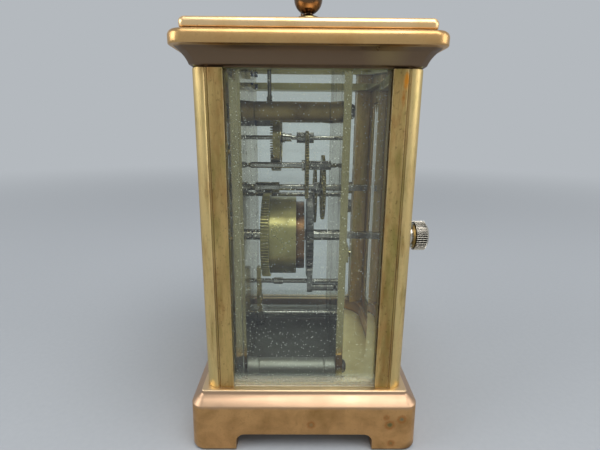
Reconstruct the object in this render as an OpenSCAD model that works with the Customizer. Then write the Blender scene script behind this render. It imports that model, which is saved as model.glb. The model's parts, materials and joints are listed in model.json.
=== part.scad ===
// Glazed brass travelling clock with a bevelled glass case, a hinged back door,
// a folding bail handle and an eight-day movement under a lever platform.
// X runs across the clock, the dial faces -Y, the back door faces +Y, Z is up.
// The origin is on the ground, under the middle of the whole clock with its door knob.

/* [Case] */
// Width of the case over its pillars
body_w = 78.8; // [74:0.2:90]
// Depth of the case over its pillars
body_d = 66.3; // [65:0.1:75]
// Height of the glazed opening between base and cornice
open_h = 102.1; // [100:0.1:120]
// Side of the square corner pillars
pillar_w = 9.2; // [8.6:0.05:9.8]
// Thickness of the side, front and door glasses
glass_t = 2.2; // [1.8:0.1:2.4]
// Thickness of the glass in the top
top_glass_t = 2.4; // [2:0.1:2.5]
// Width of the bevel round each glass
bevel_w = 3.6; // [2:0.1:5]

/* [Base] */
// Height of the base ledge that the pillars stand on
base_h = 20.6; // [19.6:0.1:24]
// How far the base stands out past the pillars
base_over = 5.1; // [4.8:0.1:8]
// Height of the upright band of the base
base_band_h = 16.6; // [14:0.1:17]
// Height of the arch between the feet
foot_h = 6.3; // [4:0.1:8]
// Length of each foot along the case side
foot_l = 15.3; // [12:0.1:18]
// Wall of the hollow base
base_wall = 5; // [4:0.1:6]
// Height of the floor that the movement stands on
floor_z = 15; // [14:0.1:15.4]
// Thickness of the floor plate
floor_t = 2; // [1.5:0.1:3]

/* [Cornice and handle] */
// How far the cornice stands out past the pillars
cornice_over = 5.2; // [4.8:0.1:7]
// Height of the cove under the cornice lip
cove_h = 5.3; // [5:0.1:8]
// Height of the cornice lip
lip_h = 3.9; // [3:0.1:5]
// How far the lip overhangs the top of the cove
lip_over = 1.4; // [0.8:0.1:2]
// Height of the raised top step
step_h = 3.5; // [3.4:0.1:5]
// Distance between the two handle posts
post_span = 60; // [56:0.2:62]
// Diameter of the ball on each handle post
ball_d = 8.2; // [7:0.1:8.8]
// Height of the bail handle above its pivots
bail_h = 31; // [26:0.5:34]
// Diameter of the bail rod
bail_d = 3.8; // [3.2:0.1:4.4]

/* [Door] */
// Thickness of the door frame
door_t = 3.2; // [3:0.05:3.4]
// Width of the door frame's bars
door_bar = 5.6; // [5:0.1:7]
// Height of the door knob
knob_z = 71.2; // [50:0.1:95]
// Diameter of the knurled door knob
knob_d = 9.9; // [8:0.1:10.5]
// Thickness of the knob's knurled rim
knob_t = 5; // [3.5:0.1:6]

/* [Movement] */
// Width of the movement plates
plate_w = 52.6; // [51:0.2:56]
// Thickness of the movement plates
plate_t = 2.5; // [2:0.1:2.8]
// Gap between the movement plates
plate_gap = 32.5; // [32:0.1:33.5]
// Diameter of the pillars between the plates
strut_d = 6.6; // [5.5:0.1:7.2]
// Room from the front of the pillars back to the front plate's inner face
front_room = 12.25; // [12.05:0.05:12.45]
// Height of the barrel arbor
barrel_z = 64.1; // [63.5:0.1:64.5]
// Height from the centre arbor to the contrate arbor
contrate_rise = 19.2; // [19.1:0.05:19.4]
// Diameter of the dial
dial_d = 50; // [44:0.5:52]

/* [Gear train] */
// Tooth size of the barrel wheel and the intermediate pinion
barrel_m = 0.396; // [0.394:0.001:0.398]
// Tooth size of the intermediate wheel and the centre pinion
intermediate_m = 0.33; // [0.326:0.001:0.332]
// Tooth size of the centre wheel and the third pinion
centre_m = 0.31; // [0.306:0.001:0.312]
// Tooth size of the third wheel and the contrate pinion
third_m = 0.32; // [0.318:0.001:0.324]
// Outer radius of the contrate wheel
contrate_r = 12.7; // [12.3:0.05:12.75]
// Diameter of the escape wheel
escape_d = 7.6; // [6.8:0.1:8]
// Diameter of the balance wheel
balance_d = 11.6; // [10:0.2:11.8]

/* [Hidden] */
$fn = 48;

// Clearances
fit = 0.05;            // radial clearance of every pivot and running bore
gap = 0.25;            // clearance round loose glasses and the door
seat = 0.02;           // clearance of a piece pressed or screwed onto another

// Case
ledge_z = base_h;
cornice_z = base_h + open_h;
lip_z = cornice_z + cove_h;
lip_top_z = lip_z + lip_h;
top_z = lip_top_z + step_h;
pillar_x = body_w/2 - pillar_w;
pillar_y = body_d/2 - pillar_w;
pillar_r = 4;
corner_r = 4.8;
cove_corner = 1.74;
neck_in = cornice_over + 0.4;
neck_edge = 0.2;
neck_slope = 0.9;
neck_h = 0.8;
cove_sink = 0.5;
cove_steps = 7;
bead = 4.7;
base_draft = 0.27;
ledge_in = 3.7;
arch_r = 3;
bead_r = 0.45;
glass_in = 1.2;
tongue = 1.2;
glass_foot = 1;
step_in = 3.1;
step_r = 1.6;
floor_w = body_w - 2.8;
floor_d = body_d - 3;
well_w = body_w - 9.6;
well_d = body_d - 9.2;
well_r = 10;
inner_w = plate_w + 1.8;
inner_d = body_d - 11.6;
window_w = 46;
window_d = 40;
window_seat = 2;
rebate_r = 0.3;
glass_sink = 0.4;
glass_fall = 0.9;
glass_z = ledge_z + open_h/2;
glass_h = open_h + 2*glass_foot - gap;
base_w = body_w + 2*base_over;
base_d = body_d + 2*base_over;
cornice_w = body_w + 2*cornice_over;
cornice_d = body_d + 2*cornice_over;

// Case screws
screw_r = 1.2;
head_r = 2.2;
head_h = 1.4;
screw_hold = 7;
screw_dx = pillar_x + pillar_w/2;
screw_dy = pillar_y + pillar_w/2;
top_screw_z = cornice_z + 3;

// Door
door_y = body_d/2 - door_t/2;
pin_r = 1;
pin_l = 3;
hinge_x = -(pillar_x - gap - door_t/2);
door_w = 2*(pillar_x - gap);
door_h = open_h - 2*gap;
door_low = ledge_z + gap;
door_tongue = 1;
door_glass_w = door_w - 2*door_bar + 2*door_tongue;
door_glass_h = door_h - 2*door_bar + 2*door_tongue;
door_glass_t = glass_t - 0.3;
knob_x = pillar_x - gap - door_bar/2;
shank_r = 1.4;
latch_t = 1.6;
latch_w = 3;
latch_l = 5.4;
latch_reach = latch_l + latch_w/2;
latch_y = door_y - door_t/2 - 0.3 - latch_t;
mortise = 0.5;
knob_neck = 2.55;
knurls = 44;
knob_y = body_d/2 + knob_neck;
knob_end_y = knob_y + knob_t + 0.4;
// The case's middle lies this far in front of the origin, because the knob stands out behind
case_shift = (knob_end_y - max(base_d, cornice_d)/2)/2;

// Handle
post_x = post_span/2;
post_foot_h = 3.5;
post_stud_r = 1.5;
post_stud_l = 7.6;
ball_z = top_z + post_foot_h + ball_d/2 - 0.5;
bail_pin_r = 1.2;
bail_pin_l = 2.2;
eye_w = bail_d + 0.6;
bail_x = post_x - ball_d/2 - 0.2 - eye_w/2;
bend_r = 7;

// Movement places, measured along Y from the middle of the case
front_in = -(body_d/2 - front_room);
front_out = front_in - plate_t;
back_in = front_in + plate_gap;
back_out = back_in + plate_t;
plate_top = cornice_z + 3.3;
key_end_y = door_y - door_t/2 - 1.45;
hand_key_end_y = key_end_y - 3.8;
strut_x = plate_w/2 - strut_d/2;
strut_low = floor_z + strut_d/2 + 0.7;
strut_high = cornice_z - 11.1;
strut_stud_r = 1.5;
strut_tap_r = 0.7;
strut_tap_l = 3;
pivot_r = 0.6;
foot_screw_r = 0.8;
foot_screw_x = 14;
foot_screw_l = floor_t + 6;
plate_middles = [(front_in + front_out)/2, (back_in + back_out)/2];

// Tooth counts
barrel_teeth = 84;
intermediate_leaves = 14;
intermediate_teeth = 72;
centre_leaves = 12;
centre_teeth = 80;
third_leaves = 10;
third_teeth = 75;
contrate_leaves = 12;
contrate_teeth = 84;
escape_leaves = 7;
escape_teeth = 15;
cannon_leaves = 12;
minute_teeth = 36;
minute_leaves = 10;
hour_teeth = 40;
ratchet_teeth = 40;
motion_m = 0.28;
hour_m = motion_m*(cannon_leaves + minute_teeth)/(minute_leaves + hour_teeth);

// Tooth shape, in tooth sizes and shares of the pitch
wheel_add = 0.75;
wheel_ded = 1.3;
pinion_add = 0.35;
pinion_ded = 1.45;
wheel_share = 0.34;
pinion_share = 0.28;
tip_share = 0.12;

// Arbor centres: each pair stands at the sum of its pitch radii
function pitch(teeth, m) = teeth*m/2;
function spread(a, b, m) = pitch(a, m) + pitch(b, m);
// The point at distance ra from a and rb from b, on the side that turns by hand (1 or -1)
function meet(a, ra, b, rb, hand) =
    let (d = norm(b - a))
    let (along = (d*d + ra*ra - rb*rb)/(2*d))
    let (off = sqrt(ra*ra - along*along))
    let (u = (b - a)/d)
    a + along*u + hand*off*[u[1], -u[0]];
function angle_to(a, b) = atan2(b[1] - a[1], b[0] - a[0]);

centre_rise = 19.4;
barrel_at = [0, barrel_z];
barrel_reach = spread(barrel_teeth, intermediate_leaves, barrel_m);
centre_at = [0, barrel_z + centre_rise];
contrate_at = [0, centre_at[1] + contrate_rise];
intermediate_at = meet(barrel_at, barrel_reach, centre_at,
    spread(intermediate_teeth, centre_leaves, intermediate_m), -1);
third_at = meet(centre_at, spread(centre_teeth, third_leaves, centre_m), contrate_at,
    spread(third_teeth, contrate_leaves, third_m), 1);
minute_at = centre_at + [spread(cannon_leaves, minute_teeth, motion_m), 0];

// Pitch and tip radii
barrel_tip = pitch(barrel_teeth, barrel_m) + wheel_add*barrel_m;
drum_r = barrel_tip - 1.4;
drum_wall = 1.2;
ratchet_r = barrel_tip;
arbor_r = 2.2;
square_w = 2.5;

// Places along Y inside the plates, measured back from the front plate
barrel_wheel_y = front_in + 4.5;
barrel_wheel_t = 3;
drum_end_y = front_in + 17.7;
cap_t = 1;
ratchet_y = front_in + 21.8;
ratchet_t = 2.4;
centre_pinion_y = front_in + 24.5;
intermediate_wheel_y = front_in + 25;
centre_wheel_y = front_in + 27.5;
third_wheel_y = front_in + 20.9;
third_pinion_l = 8.2;
wheel_t = 1.1;
contrate_disc_y = front_in + 10.7;
contrate_tip_y = front_in + 8.2;
contrate_pinion_y = front_in + 17.7;
contrate_pinion_l = 6.6;

// Click, and the block and stop screw behind the back plate
click_at = [13.4, barrel_z - 17.2];
click_stud_r = 0.8;
stop_at = [0, 76.2];
stop_r = 0.8;
block_screw_x = 5;
block_screw_z = barrel_z - 6.2;
block_screw_r = 0.8;

// Platform
platform_z = cornice_z + 1.8;
platform_t = 1.3;
platform_front = front_in + 0.3;
platform_back = platform_front + 12;
platform_left = -11;
platform_right = 23;
escape_y = contrate_tip_y - 0.75;
lever_x = 6.4;
balance_x = 14.4;
pinion_low_z = contrate_at[1] + contrate_r - 2.4;
potence_z = contrate_at[1] + 4.2;
potence_t = 2.4;
escape_z = platform_z + platform_t + 0.5;
balance_z = platform_z + platform_t + 2;
cock_z = platform_z + platform_t + 3.6;
cock_t = 1;
low_cock_z = platform_z + platform_t + 1.7;
low_cock_t = 0.9;
staff_r = 0.35;
cock_post_t = 2.6;
platform_screw_places = [
    [-8, escape_y],
    [platform_right - cock_post_t/2, platform_front + 2.4],
    [platform_right - cock_post_t/2, platform_back - 2]
];
escape_m = 2*(contrate_r - 0.45)/contrate_teeth;
impulse_r = 1.3;
// The pallets and the fork stop just short of the escape wheel and the impulse pin
pallet_x = escape_d/2 - 0.25 - lever_x;
fork_x = balance_x - impulse_r - 0.35 - lever_x;
spring_r = 3.2;
spring_t = 0.12;
stud_r = 0.3;

// Lower work: two cross arbors and an arm, as seen under the barrel
cross_at = [-8, 40.9];
lifting_at = [0, 29.7];

// Dial and hands
dial_t = 1.1;
dial_y = front_out - 2.6;
dial_face_y = dial_y - dial_t;
mask_w = 2*(pillar_x - 0.45);
hand_t = 0.35;
pipe_r = 1.6;
dial_foot = 14;
mask_foot_x = 22;
mask_foot_z = 15;
foot_pin_r = 0.8;
minute_stud_r = 0.7;
centre_r = 1.25;
centre_front_r = 1.1;
centre_back_r = 1.6;
cannon_r = 1.05;
motion_y = front_out - 1;
hour_y = front_out - 2;
square_hand = 2.3;
hour_hand_l = 14.5;
hour_leaf_w = 4.2;
hour_boss_r = 3.1;
hour_turn = 60;
minute_hand_l = 21.5;
minute_leaf_w = 3;
minute_boss_r = 2.3;
hand_stem_w = 0.9;
hand_knot_r = 1.1;
pipe_step = 0.25;
cannon_step = 0.35;
dial_arbor_r = 0.5;
hour_hand_y = dial_face_y - 0.75;
minute_hand_y = dial_face_y - 1.45;

// ---------------------------------------------------------------- helpers

// Move a piece from the middle of the case to the origin's place
module placed() {
    translate([0, -case_shift, 0])
        children();
}

// A rod along Y from y0 to y1
module rod(at, r, y0, y1) {
    translate([at[0], y0, at[1]])
        rotate([-90, 0, 0])
            cylinder(r = r, h = y1 - y0);
}

// A square rod along Y
module square_rod(at, w, y0, y1) {
    translate([at[0] - w/2, y0, at[1] - w/2])
        cube([w, y1 - y0, w]);
}

// Extrude a drawing made in the XZ plane from y0, for t along +Y
module along_y(at, y0, t) {
    translate([at[0], y0 + t, at[1]])
        rotate([90, 0, 0])
            linear_extrude(t)
                children();
}

// A solid whose rounded outline steps in with height: pts are [inset, z], low to high
module moulded(w, d, r, pts) {
    low = pts[0][1];
    high = pts[len(pts) - 1][1];
    for (sx = [-1, 1], sy = [-1, 1])
        translate([sx*(w/2 - r), sy*(d/2 - r), 0])
            rotate_extrude()
                polygon(concat([[0, low]], [for (p = pts) [r - p[0], p[1]]], [[0, high]]));
    translate([-(w/2 - r), 0, 0])
        rotate([90, 0, 90])
            linear_extrude(w - 2*r)
                mirrored_profile(d, pts);
    translate([0, d/2 - r, 0])
        rotate([90, 0, 0])
            linear_extrude(d - 2*r)
                mirrored_profile(w, pts);
}

module mirrored_profile(span, pts) {
    n = len(pts);
    polygon(concat(
        [for (p = pts) [span/2 - p[0], p[1]]],
        [for (i = [n - 1:-1:0]) [-(span/2 - pts[i][0]), pts[i][1]]]
    ));
}

// Points of a quarter round in a moulding: from angle a0 to a1 about [inset, z]
function arc(inset, z, r, a0, a1, n = 6) =
    [for (i = [0:n]) let (a = a0 + (a1 - a0)*i/n) [inset - r*cos(a), z + r*sin(a)]];

// A train wheel's outline: teeth that narrow to a short tip
module wheel_outline(teeth, m, phase) {
    r = pitch(teeth, m);
    step = 360/teeth;
    shape = [
        [r - wheel_ded*m, wheel_share],
        [r, wheel_share],
        [r + 0.6*wheel_add*m, 0.72*wheel_share],
        [r + wheel_add*m, tip_share]
    ];
    tooth_ring(teeth, step, phase, shape);
}

// A pinion's outline: slender leaves with rounded tips
module pinion_outline(leaves, m, phase) {
    r = pitch(leaves, m);
    step = 360/leaves;
    shape = [
        [r - pinion_ded*m, 0.85*pinion_share],
        [r, pinion_share],
        [r + 0.7*pinion_add*m, 0.7*pinion_share],
        [r + pinion_add*m, 0.25*pinion_share]
    ];
    tooth_ring(leaves, step, phase, shape);
}

// One tooth is a list of [radius, width as a share of the pitch], root to tip
module tooth_ring(count, step, phase, shape) {
    n = len(shape);
    polygon([
        for (i = [0:count - 1])
            for (j = [0:2*n - 1])
                let (k = j < n ? j : 2*n - 1 - j)
                let (side = j < n ? -1 : 1)
                let (a = phase + i*step + side*shape[k][1]*step/2)
                shape[k][0]*[cos(a), sin(a)]
    ]);
}

// A crossed-out wheel: rim, hub and spokes, drawn about its centre
module crossed(rim_r, hub_r, spokes, spoke_w) {
    difference() {
        children();
        difference() {
            circle(r = rim_r);
            circle(r = hub_r);
            for (i = [0:spokes - 1])
                rotate(i*360/spokes)
                    translate([0, -spoke_w/2])
                        square([rim_r + 1, spoke_w]);
        }
    }
}

// ------------------------------------------------------------------ case

module base_moulding() color("peru") placed() difference() {
    moulded(base_w, base_d, corner_r, concat(
        [[0.9, 0], [0.3, 0.35], [0, 1.1], [base_draft, base_band_h]],
        [[base_draft + 0.2, base_band_h + 0.25], [base_draft + 1.7, base_h - 2.3]],
        [[ledge_in - 0.5, base_h - 1.3], [ledge_in - 0.2, base_h - 0.9]],
        [[ledge_in - 0.1, base_h - 0.2], [ledge_in + 0.1, base_h]]
    ));
    // hollow underside, and the seat of the floor plate
    translate([0, 0, -1])
        rounded_block(base_w - 2*base_wall, base_d - 2*base_wall, 3, floor_z - floor_t + 1);
    translate([0, 0, floor_z - floor_t - 1])
        rounded_block(floor_w + 2*gap, floor_d + 2*gap, 3, floor_t + 1);
    translate([0, 0, floor_z - 1])
        rounded_block(well_w, well_d, well_r, base_h);
    // arches between the feet
    arch(base_d - 2*foot_l, base_w + 2, 90);
    arch(base_w - 2*foot_l, base_d + 2, 0);
    // holes for the pillar screws, grooves for the glasses, sockets for the door pins
    pillar_places() translate([0, 0, -1]) cylinder(r = screw_r + 0.1, h = base_h + 2);
    glass_slots(base_h - glass_foot);
    translate([hinge_x, door_y, base_h - pin_l])
        cylinder(r = pin_r + seat, h = pin_l + 1);
}

module rounded_block(w, d, r, h) {
    translate([-w/2 + r, -d/2, 0]) cube([w - 2*r, d, h]);
    translate([-w/2, -d/2 + r, 0]) cube([w, d - 2*r, h]);
    for (sx = [-1, 1], sy = [-1, 1])
        translate([sx*(w/2 - r), sy*(d/2 - r), 0])
            cylinder(r = r, h = h);
}

// An arch right through the base, with rounded upper corners
module arch(span, length, turn) {
    r = arch_r;
    rotate([0, 0, turn])
        translate([0, length/2, 0])
            rotate([90, 0, 0])
                linear_extrude(length) {
                    translate([-span/2, -1]) square([span, foot_h + 1 - r]);
                    translate([-span/2 + r, -1]) square([span - 2*r, foot_h + 1]);
                    for (s = [-1, 1])
                        translate([s*(span/2 - r), foot_h - r]) circle(r = r);
                }
}

module pillar_places() {
    for (sx = [-1, 1], sy = [-1, 1])
        translate([sx*screw_dx, sy*screw_dy, 0])
            children();
}

// Grooves that hold the edges of the three fixed glasses
module glass_slots(z) {
    h = 30;
    t = glass_t + gap;
    for (s = [-1, 1])
        translate([s*(body_w/2 - glass_in - glass_t/2) - t/2, -pillar_y - tongue - gap/2, z])
            cube([t, 2*(pillar_y + tongue) + gap, h]);
    translate([-pillar_x - tongue - gap/2, -(body_d/2 - glass_in - glass_t/2) - t/2, z])
        cube([2*(pillar_x + tongue) + gap, t, h]);
}

module floor_plate() color("darkkhaki") placed() difference() {
    translate([0, 0, floor_z - floor_t])
        rounded_block(floor_w, floor_d, 3, floor_t - seat);
    pillar_places() translate([0, 0, floor_z - floor_t - 1]) cylinder(r = screw_r + 0.1, h = floor_t + 2);
    for (s = [-1, 1], y = plate_middles)
        translate([s*foot_screw_x, y, floor_z - floor_t - 1])
            cylinder(r = foot_screw_r + 0.1, h = floor_t + 2);
}

// A pillar's plan, with the outer corner at [pillar_w, pillar_w]
module pillar_plan(slot_x, slot_y) {
    difference() {
        union() {
            square([pillar_w, pillar_w - pillar_r]);
            square([pillar_w - pillar_r, pillar_w]);
            translate([pillar_w - pillar_r, pillar_w - pillar_r]) circle(r = pillar_r);
        }
        translate([bead, pillar_w]) circle(r = bead_r);
        translate([pillar_w, bead]) circle(r = bead_r);
        if (slot_x)
            translate([pillar_w - glass_in - glass_t - gap/2, -1])
                square([glass_t + gap, tongue + gap/2 + 1]);
        if (slot_y)
            translate([-1, pillar_w - glass_in - glass_t - gap/2])
                square([tongue + gap/2 + 1, glass_t + gap]);
    }
}

// A pillar at the corner given by the signs sx and sy
module pillar(sx, sy, front) {
    difference() {
        translate([0, 0, ledge_z + seat])
            mirror([sx < 0 ? 1 : 0, 0, 0])
                mirror([0, sy < 0 ? 1 : 0, 0])
                    translate([pillar_x, pillar_y, 0])
                        linear_extrude(open_h - 2*seat)
                            pillar_plan(true, front);
        for (z = [ledge_z - 1, cornice_z - screw_hold])
            translate([sx*screw_dx, sy*screw_dy, z])
                cylinder(r = screw_r + seat, h = screw_hold + 1);
    }
}

module pillar_front_left() color("olive") placed() pillar(-1, -1, true);
module pillar_front_right() color("olive") placed() pillar(1, -1, true);
module pillar_rear_left() color("olive") placed() pillar(-1, 1, false);
module pillar_rear_right() color("olive") placed() difference() {
    pillar(1, 1, false);
    // mortise that the latch swings into from below
    translate([pillar_x - 1, latch_y - mortise, knob_z - latch_reach - mortise])
        cube([knob_x + latch_reach + mortise - pillar_x + 1, latch_t + 2*mortise,
            latch_reach + latch_w/2 + 2*mortise]);
}

module cornice() color("sienna") placed() difference() {
    union() {
        cove();
        moulded(cornice_w, cornice_d, corner_r, [
            [0.2, lip_z], [0, lip_z + 0.3], [0, lip_top_z - 1.5], [0.15, lip_top_z - 1],
            [0.5, lip_top_z - 0.5], [1, lip_top_z - 0.15], [1.6, lip_top_z]
        ]);
    }
    // room for the tops of the movement plates and the platform
    translate([0, 0, cornice_z - 1]) rounded_block(inner_w, inner_d, 3, cove_h + lip_h + 2);
    pillar_places() translate([0, 0, cornice_z - 1]) cylinder(r = screw_r + 0.1, h = 12);
    pillar_places() translate([0, 0, top_screw_z]) cylinder(r = head_r + 0.4, h = 10);
    mirror([0, 0, 1]) translate([0, 0, -cornice_z - glass_foot]) glass_slots(0);
    translate([hinge_x, door_y, cornice_z - 1])
        cylinder(r = pin_r + seat, h = pin_l + 1);
    post_holes();
}

// The hollow under the lip, inset [distance, height] from the lip's face, low to high
function cove_points() = concat(
    [[neck_in, cornice_z], [neck_in, cornice_z + neck_edge], [neck_in - neck_slope, cornice_z + neck_h]],
    [for (i = [1:cove_steps]) let (t = i/cove_steps)
        [neck_in - neck_slope - (neck_in - neck_slope - lip_over)*t + cove_sink*sin(180*t),
            cornice_z + neck_h + (cove_h - neck_h)*t]],
    [[lip_over, lip_z + 0.5]]);

// The cove keeps the same corner at every height, so its four runs are cut from prisms
// and its corners are taken off by two more that lie across the diagonals
module cove() {
    across = (cornice_w + cornice_d)/2/sqrt(2) - cove_corner;
    half = cornice_w;
    intersection() {
        translate([-half, 0, 0]) rotate([90, 0, 90]) linear_extrude(2*half)
            mirrored_profile(cornice_d, cove_points());
        translate([0, half, 0]) rotate([90, 0, 0]) linear_extrude(2*half)
            mirrored_profile(cornice_w, cove_points());
        for_corner(1) diagonal_prism(across, half);
        for_corner(-1) diagonal_prism(across, half);
    }
}

module for_corner(s) {
    rotate([0, 0, 45*s])
        children();
}

module diagonal_prism(across, half) {
    translate([-half, 0, 0]) rotate([90, 0, 90]) linear_extrude(2*half)
        mirrored_profile(2*across, [for (p = cove_points()) [p[0]*sqrt(2), p[1]]]);
}

// The raised top: it covers the pillar screws and carries the glass and the handle posts
module top_plate() color("sienna") placed() difference() {
    moulded(cornice_w, cornice_d, corner_r, concat([
        [step_in + 0.7, lip_top_z + seat], [step_in + 0.7, lip_top_z + 0.5],
        [step_in + 0.1, lip_top_z + 0.8]],
        arc(step_in + step_r, top_z - step_r, step_r, 0, 90)
    ));
    translate([0, 0, lip_top_z - 1]) rounded_block(window_w, window_d, 2, step_h + 2);
    translate([0, 0, top_z - top_glass_t - glass_sink])
        rounded_block(window_w + 2*window_seat, window_d + 2*window_seat, rebate_r, top_glass_t + 1);
    post_holes();
}

module post_holes() {
    for (s = [-1, 1])
        translate([s*post_x, 0, top_z - post_stud_l])
            cylinder(r = post_stud_r + seat, h = post_stud_l + 1);
}

// ----------------------------------------------------------------- glass

// A bevelled plate in the XY plane, its flat back at z = 0 and its bevels on top.
// The tongue is the plain edge that sits in the grooves.
module bevelled(w, h, t, edge) {
    b = bevel_w + edge;
    intersection() {
        translate([-w/2, -h/2, 0]) cube([w, h, t]);
        rotate([90, 0, 0])
            translate([0, 0, -h/2])
                linear_extrude(h)
                    polygon([[-w/2, 0], [w/2, 0], [w/2, t - glass_fall], [w/2 - b, t],
                        [-w/2 + b, t], [-w/2, t - glass_fall]]);
        rotate([90, 0, 90])
            translate([0, 0, -w/2])
                linear_extrude(w)
                    polygon([[-h/2, 0], [h/2, 0], [h/2, t - glass_fall], [h/2 - b, t],
                        [-h/2 + b, t], [-h/2, t - glass_fall]]);
    }
}

module side_glass(s) {
    translate([s*(body_w/2 - glass_in - glass_t), 0, glass_z])
        rotate([90, 0, s*90])
            bevelled(2*(pillar_y + tongue), glass_h, glass_t, tongue);
}
module side_glass_left() color("lightcyan", 0.3) placed() side_glass(-1);
module side_glass_right() color("lightcyan", 0.3) placed() side_glass(1);
module front_glass() color("lightcyan", 0.3) placed()
    translate([0, -(body_d/2 - glass_in - glass_t), glass_z])
        rotate([90, 0, 0])
            bevelled(2*(pillar_x + tongue), glass_h, glass_t, tongue);
module top_glass() color("lightcyan", 0.3) placed()
    translate([0, 0, top_z - top_glass_t - glass_sink + seat])
        bevelled(window_w + 2*window_seat - gap, window_d + 2*window_seat - gap, top_glass_t, 0);

// ------------------------------------------------------------------ door

module door_frame() color("darkgoldenrod") placed() difference() {
    union() {
        translate([-door_w/2 + door_t/2, door_y - door_t/2, door_low])
            cube([door_w - door_t/2, door_t, door_h]);
        translate([hinge_x, door_y, door_low])
            cylinder(r = door_t/2, h = door_h);
    }
    // light, and the groove that the glass slides into from the top
    translate([-door_w/2 + door_bar, door_y - door_t, door_low + door_bar])
        cube([door_w - 2*door_bar, 2*door_t, door_h - 2*door_bar]);
    translate([-door_glass_w/2 - gap/2, door_y - door_glass_t/2 - gap/4, glass_z - door_glass_h/2 - gap/2])
        cube([door_glass_w + gap, door_glass_t + gap/2, door_h]);
    // sockets for the pins, bore for the knob's shank
    for (z = [door_low - 1, door_low + door_h - pin_l])
        translate([hinge_x, door_y, z]) cylinder(r = pin_r + fit, h = pin_l + 1);
    rod([knob_x, knob_z], shank_r + fit, door_y - door_t, door_y + door_t);
}

module door_glass() color("lightcyan", 0.3) placed()
    translate([0, door_y - door_glass_t/2, glass_z])
        rotate([-90, 0, 0])
            bevelled(door_glass_w, door_glass_h, door_glass_t, door_tongue);

module hinge_pins() color("goldenrod") placed() {
    translate([hinge_x, door_y, ledge_z - pin_l + 0.3]) cylinder(r = pin_r, h = 2*pin_l - 0.6);
    translate([hinge_x, door_y, cornice_z - pin_l + 0.3]) cylinder(r = pin_r, h = 2*pin_l - 0.6);
}

module door_knob() color("silver") placed() difference() {
    union() {
        rod([knob_x, knob_z], 3.1, body_d/2 + 0.1, knob_y);
        // knurled rim between two rounded flanges
        along_y([knob_x, knob_z], knob_y + 0.7, knob_t - 1.4)
            tooth_ring(knurls, 360/knurls, 0, [[knob_d/2 - 0.35, 0.5], [knob_d/2, 0.25]]);
        translate([knob_x, knob_y, knob_z])
            rotate([-90, 0, 0])
                rotate_extrude()
                    polygon([[0, 0], [knob_d/2 - 1, 0], [knob_d/2 - 0.35, 0.8],
                        [knob_d/2 - 0.35, knob_t - 0.8], [knob_d/2 - 1, knob_t],
                        [1.6, knob_t + 0.25], [0, knob_t + 0.4]]);
        rod([knob_x, knob_z], shank_r, latch_y - 0.8, body_d/2 + 0.5);
    }
    rod([knob_x, knob_z], 0.5, latch_y - 1, latch_y + 0.4);
}

// The latch hangs down when the door is free to open
module door_latch() color("goldenrod") placed() difference() {
    translate([0, latch_y, 0])
        union() {
            translate([knob_x - latch_w/2, 0, knob_z - latch_l]) cube([latch_w, latch_t, latch_l]);
            translate([knob_x, 0, knob_z]) rotate([-90, 0, 0]) cylinder(r = 2.3, h = latch_t);
            translate([knob_x, 0, knob_z - latch_l]) rotate([-90, 0, 0]) cylinder(r = latch_w/2, h = latch_t);
        }
    rod([knob_x, knob_z], shank_r + seat, latch_y - 1, latch_y + latch_t + 1);
}

// ---------------------------------------------------------------- handle

module handle_posts() color("peru") placed() for (s = [-1, 1])
    difference() {
        translate([s*post_x, 0, top_z])
            union() {
                rotate_extrude()
                    polygon([[0, 0], [3.7, 0], [3.75, 1.6], [3.4, 2.1], [2, 2.6], [1.3, 3.1],
                        [1.3, 3.4], [1.7, post_foot_h + 0.4], [0, post_foot_h + 0.6]]);
                translate([0, 0, ball_z - top_z]) sphere(d = ball_d);
                translate([0, 0, -post_stud_l + 0.2]) cylinder(r = post_stud_r, h = post_stud_l);
            }
        translate([s*(post_x - ball_d), 0, ball_z])
            rotate([0, s*90, 0])
                cylinder(r = bail_pin_r + fit, h = ball_d/2 + bail_pin_l + 0.3);
    }

module handle_bail() color("peru") placed() {
    half = bail_x - bend_r;
    r = bail_d/2;
    for (s = [-1, 1]) {
        // pivot pin and eye
        translate([s*(bail_x + eye_w/2 - 0.5), 0, ball_z]) rotate([0, s*90, 0])
            cylinder(r = bail_pin_r, h = 0.7 + bail_pin_l);
        translate([s*bail_x - eye_w/2, 0, ball_z]) rotate([0, 90, 0])
            cylinder(r = r + 0.5, h = eye_w);
        // arm and bend
        translate([s*bail_x, 0, ball_z]) cylinder(r = r, h = bail_h - bend_r);
        translate([s*half, 0, ball_z + bail_h - bend_r])
            rotate([90, 0, 0])
                mirror([s < 0 ? 1 : 0, 0, 0])
                    rotate_extrude(angle = 90)
                        translate([bend_r, 0]) circle(d = bail_d);
    }
    // turned grip: collars beside a swelling middle
    translate([0, 0, ball_z + bail_h]) rotate([0, 90, 0])
        rotate_extrude()
            polygon([[0, -half], [r, -half], [r, -13.5], [r + 1, -13.2], [r + 1, -12.4],
                [r, -12.1], [r, -10.4], [r + 1, -10.1], [r + 1, -9.3], [r, -9], [r + 0.7, -4],
                [r + 0.9, 0], [r + 0.7, 4], [r, 9], [r + 1, 9.3], [r + 1, 10.1], [r, 10.4],
                [r, 12.1], [r + 1, 12.4], [r + 1, 13.2], [r, 13.5], [r, half], [0, half]]);
}

// ---------------------------------------------------------------- screws

// A slotted cheese-head screw standing on its head's underside, pointing up
module screw_up(r, head, head_h, length) {
    difference() {
        union() {
            translate([0, 0, -head_h]) cylinder(r = head, h = head_h);
            translate([0, 0, -0.1]) cylinder(r = r, h = length);
        }
        translate([-head - 1, -0.25, -head_h - 1]) cube([2*head + 2, 0.5, 1.5]);
    }
}

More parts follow.
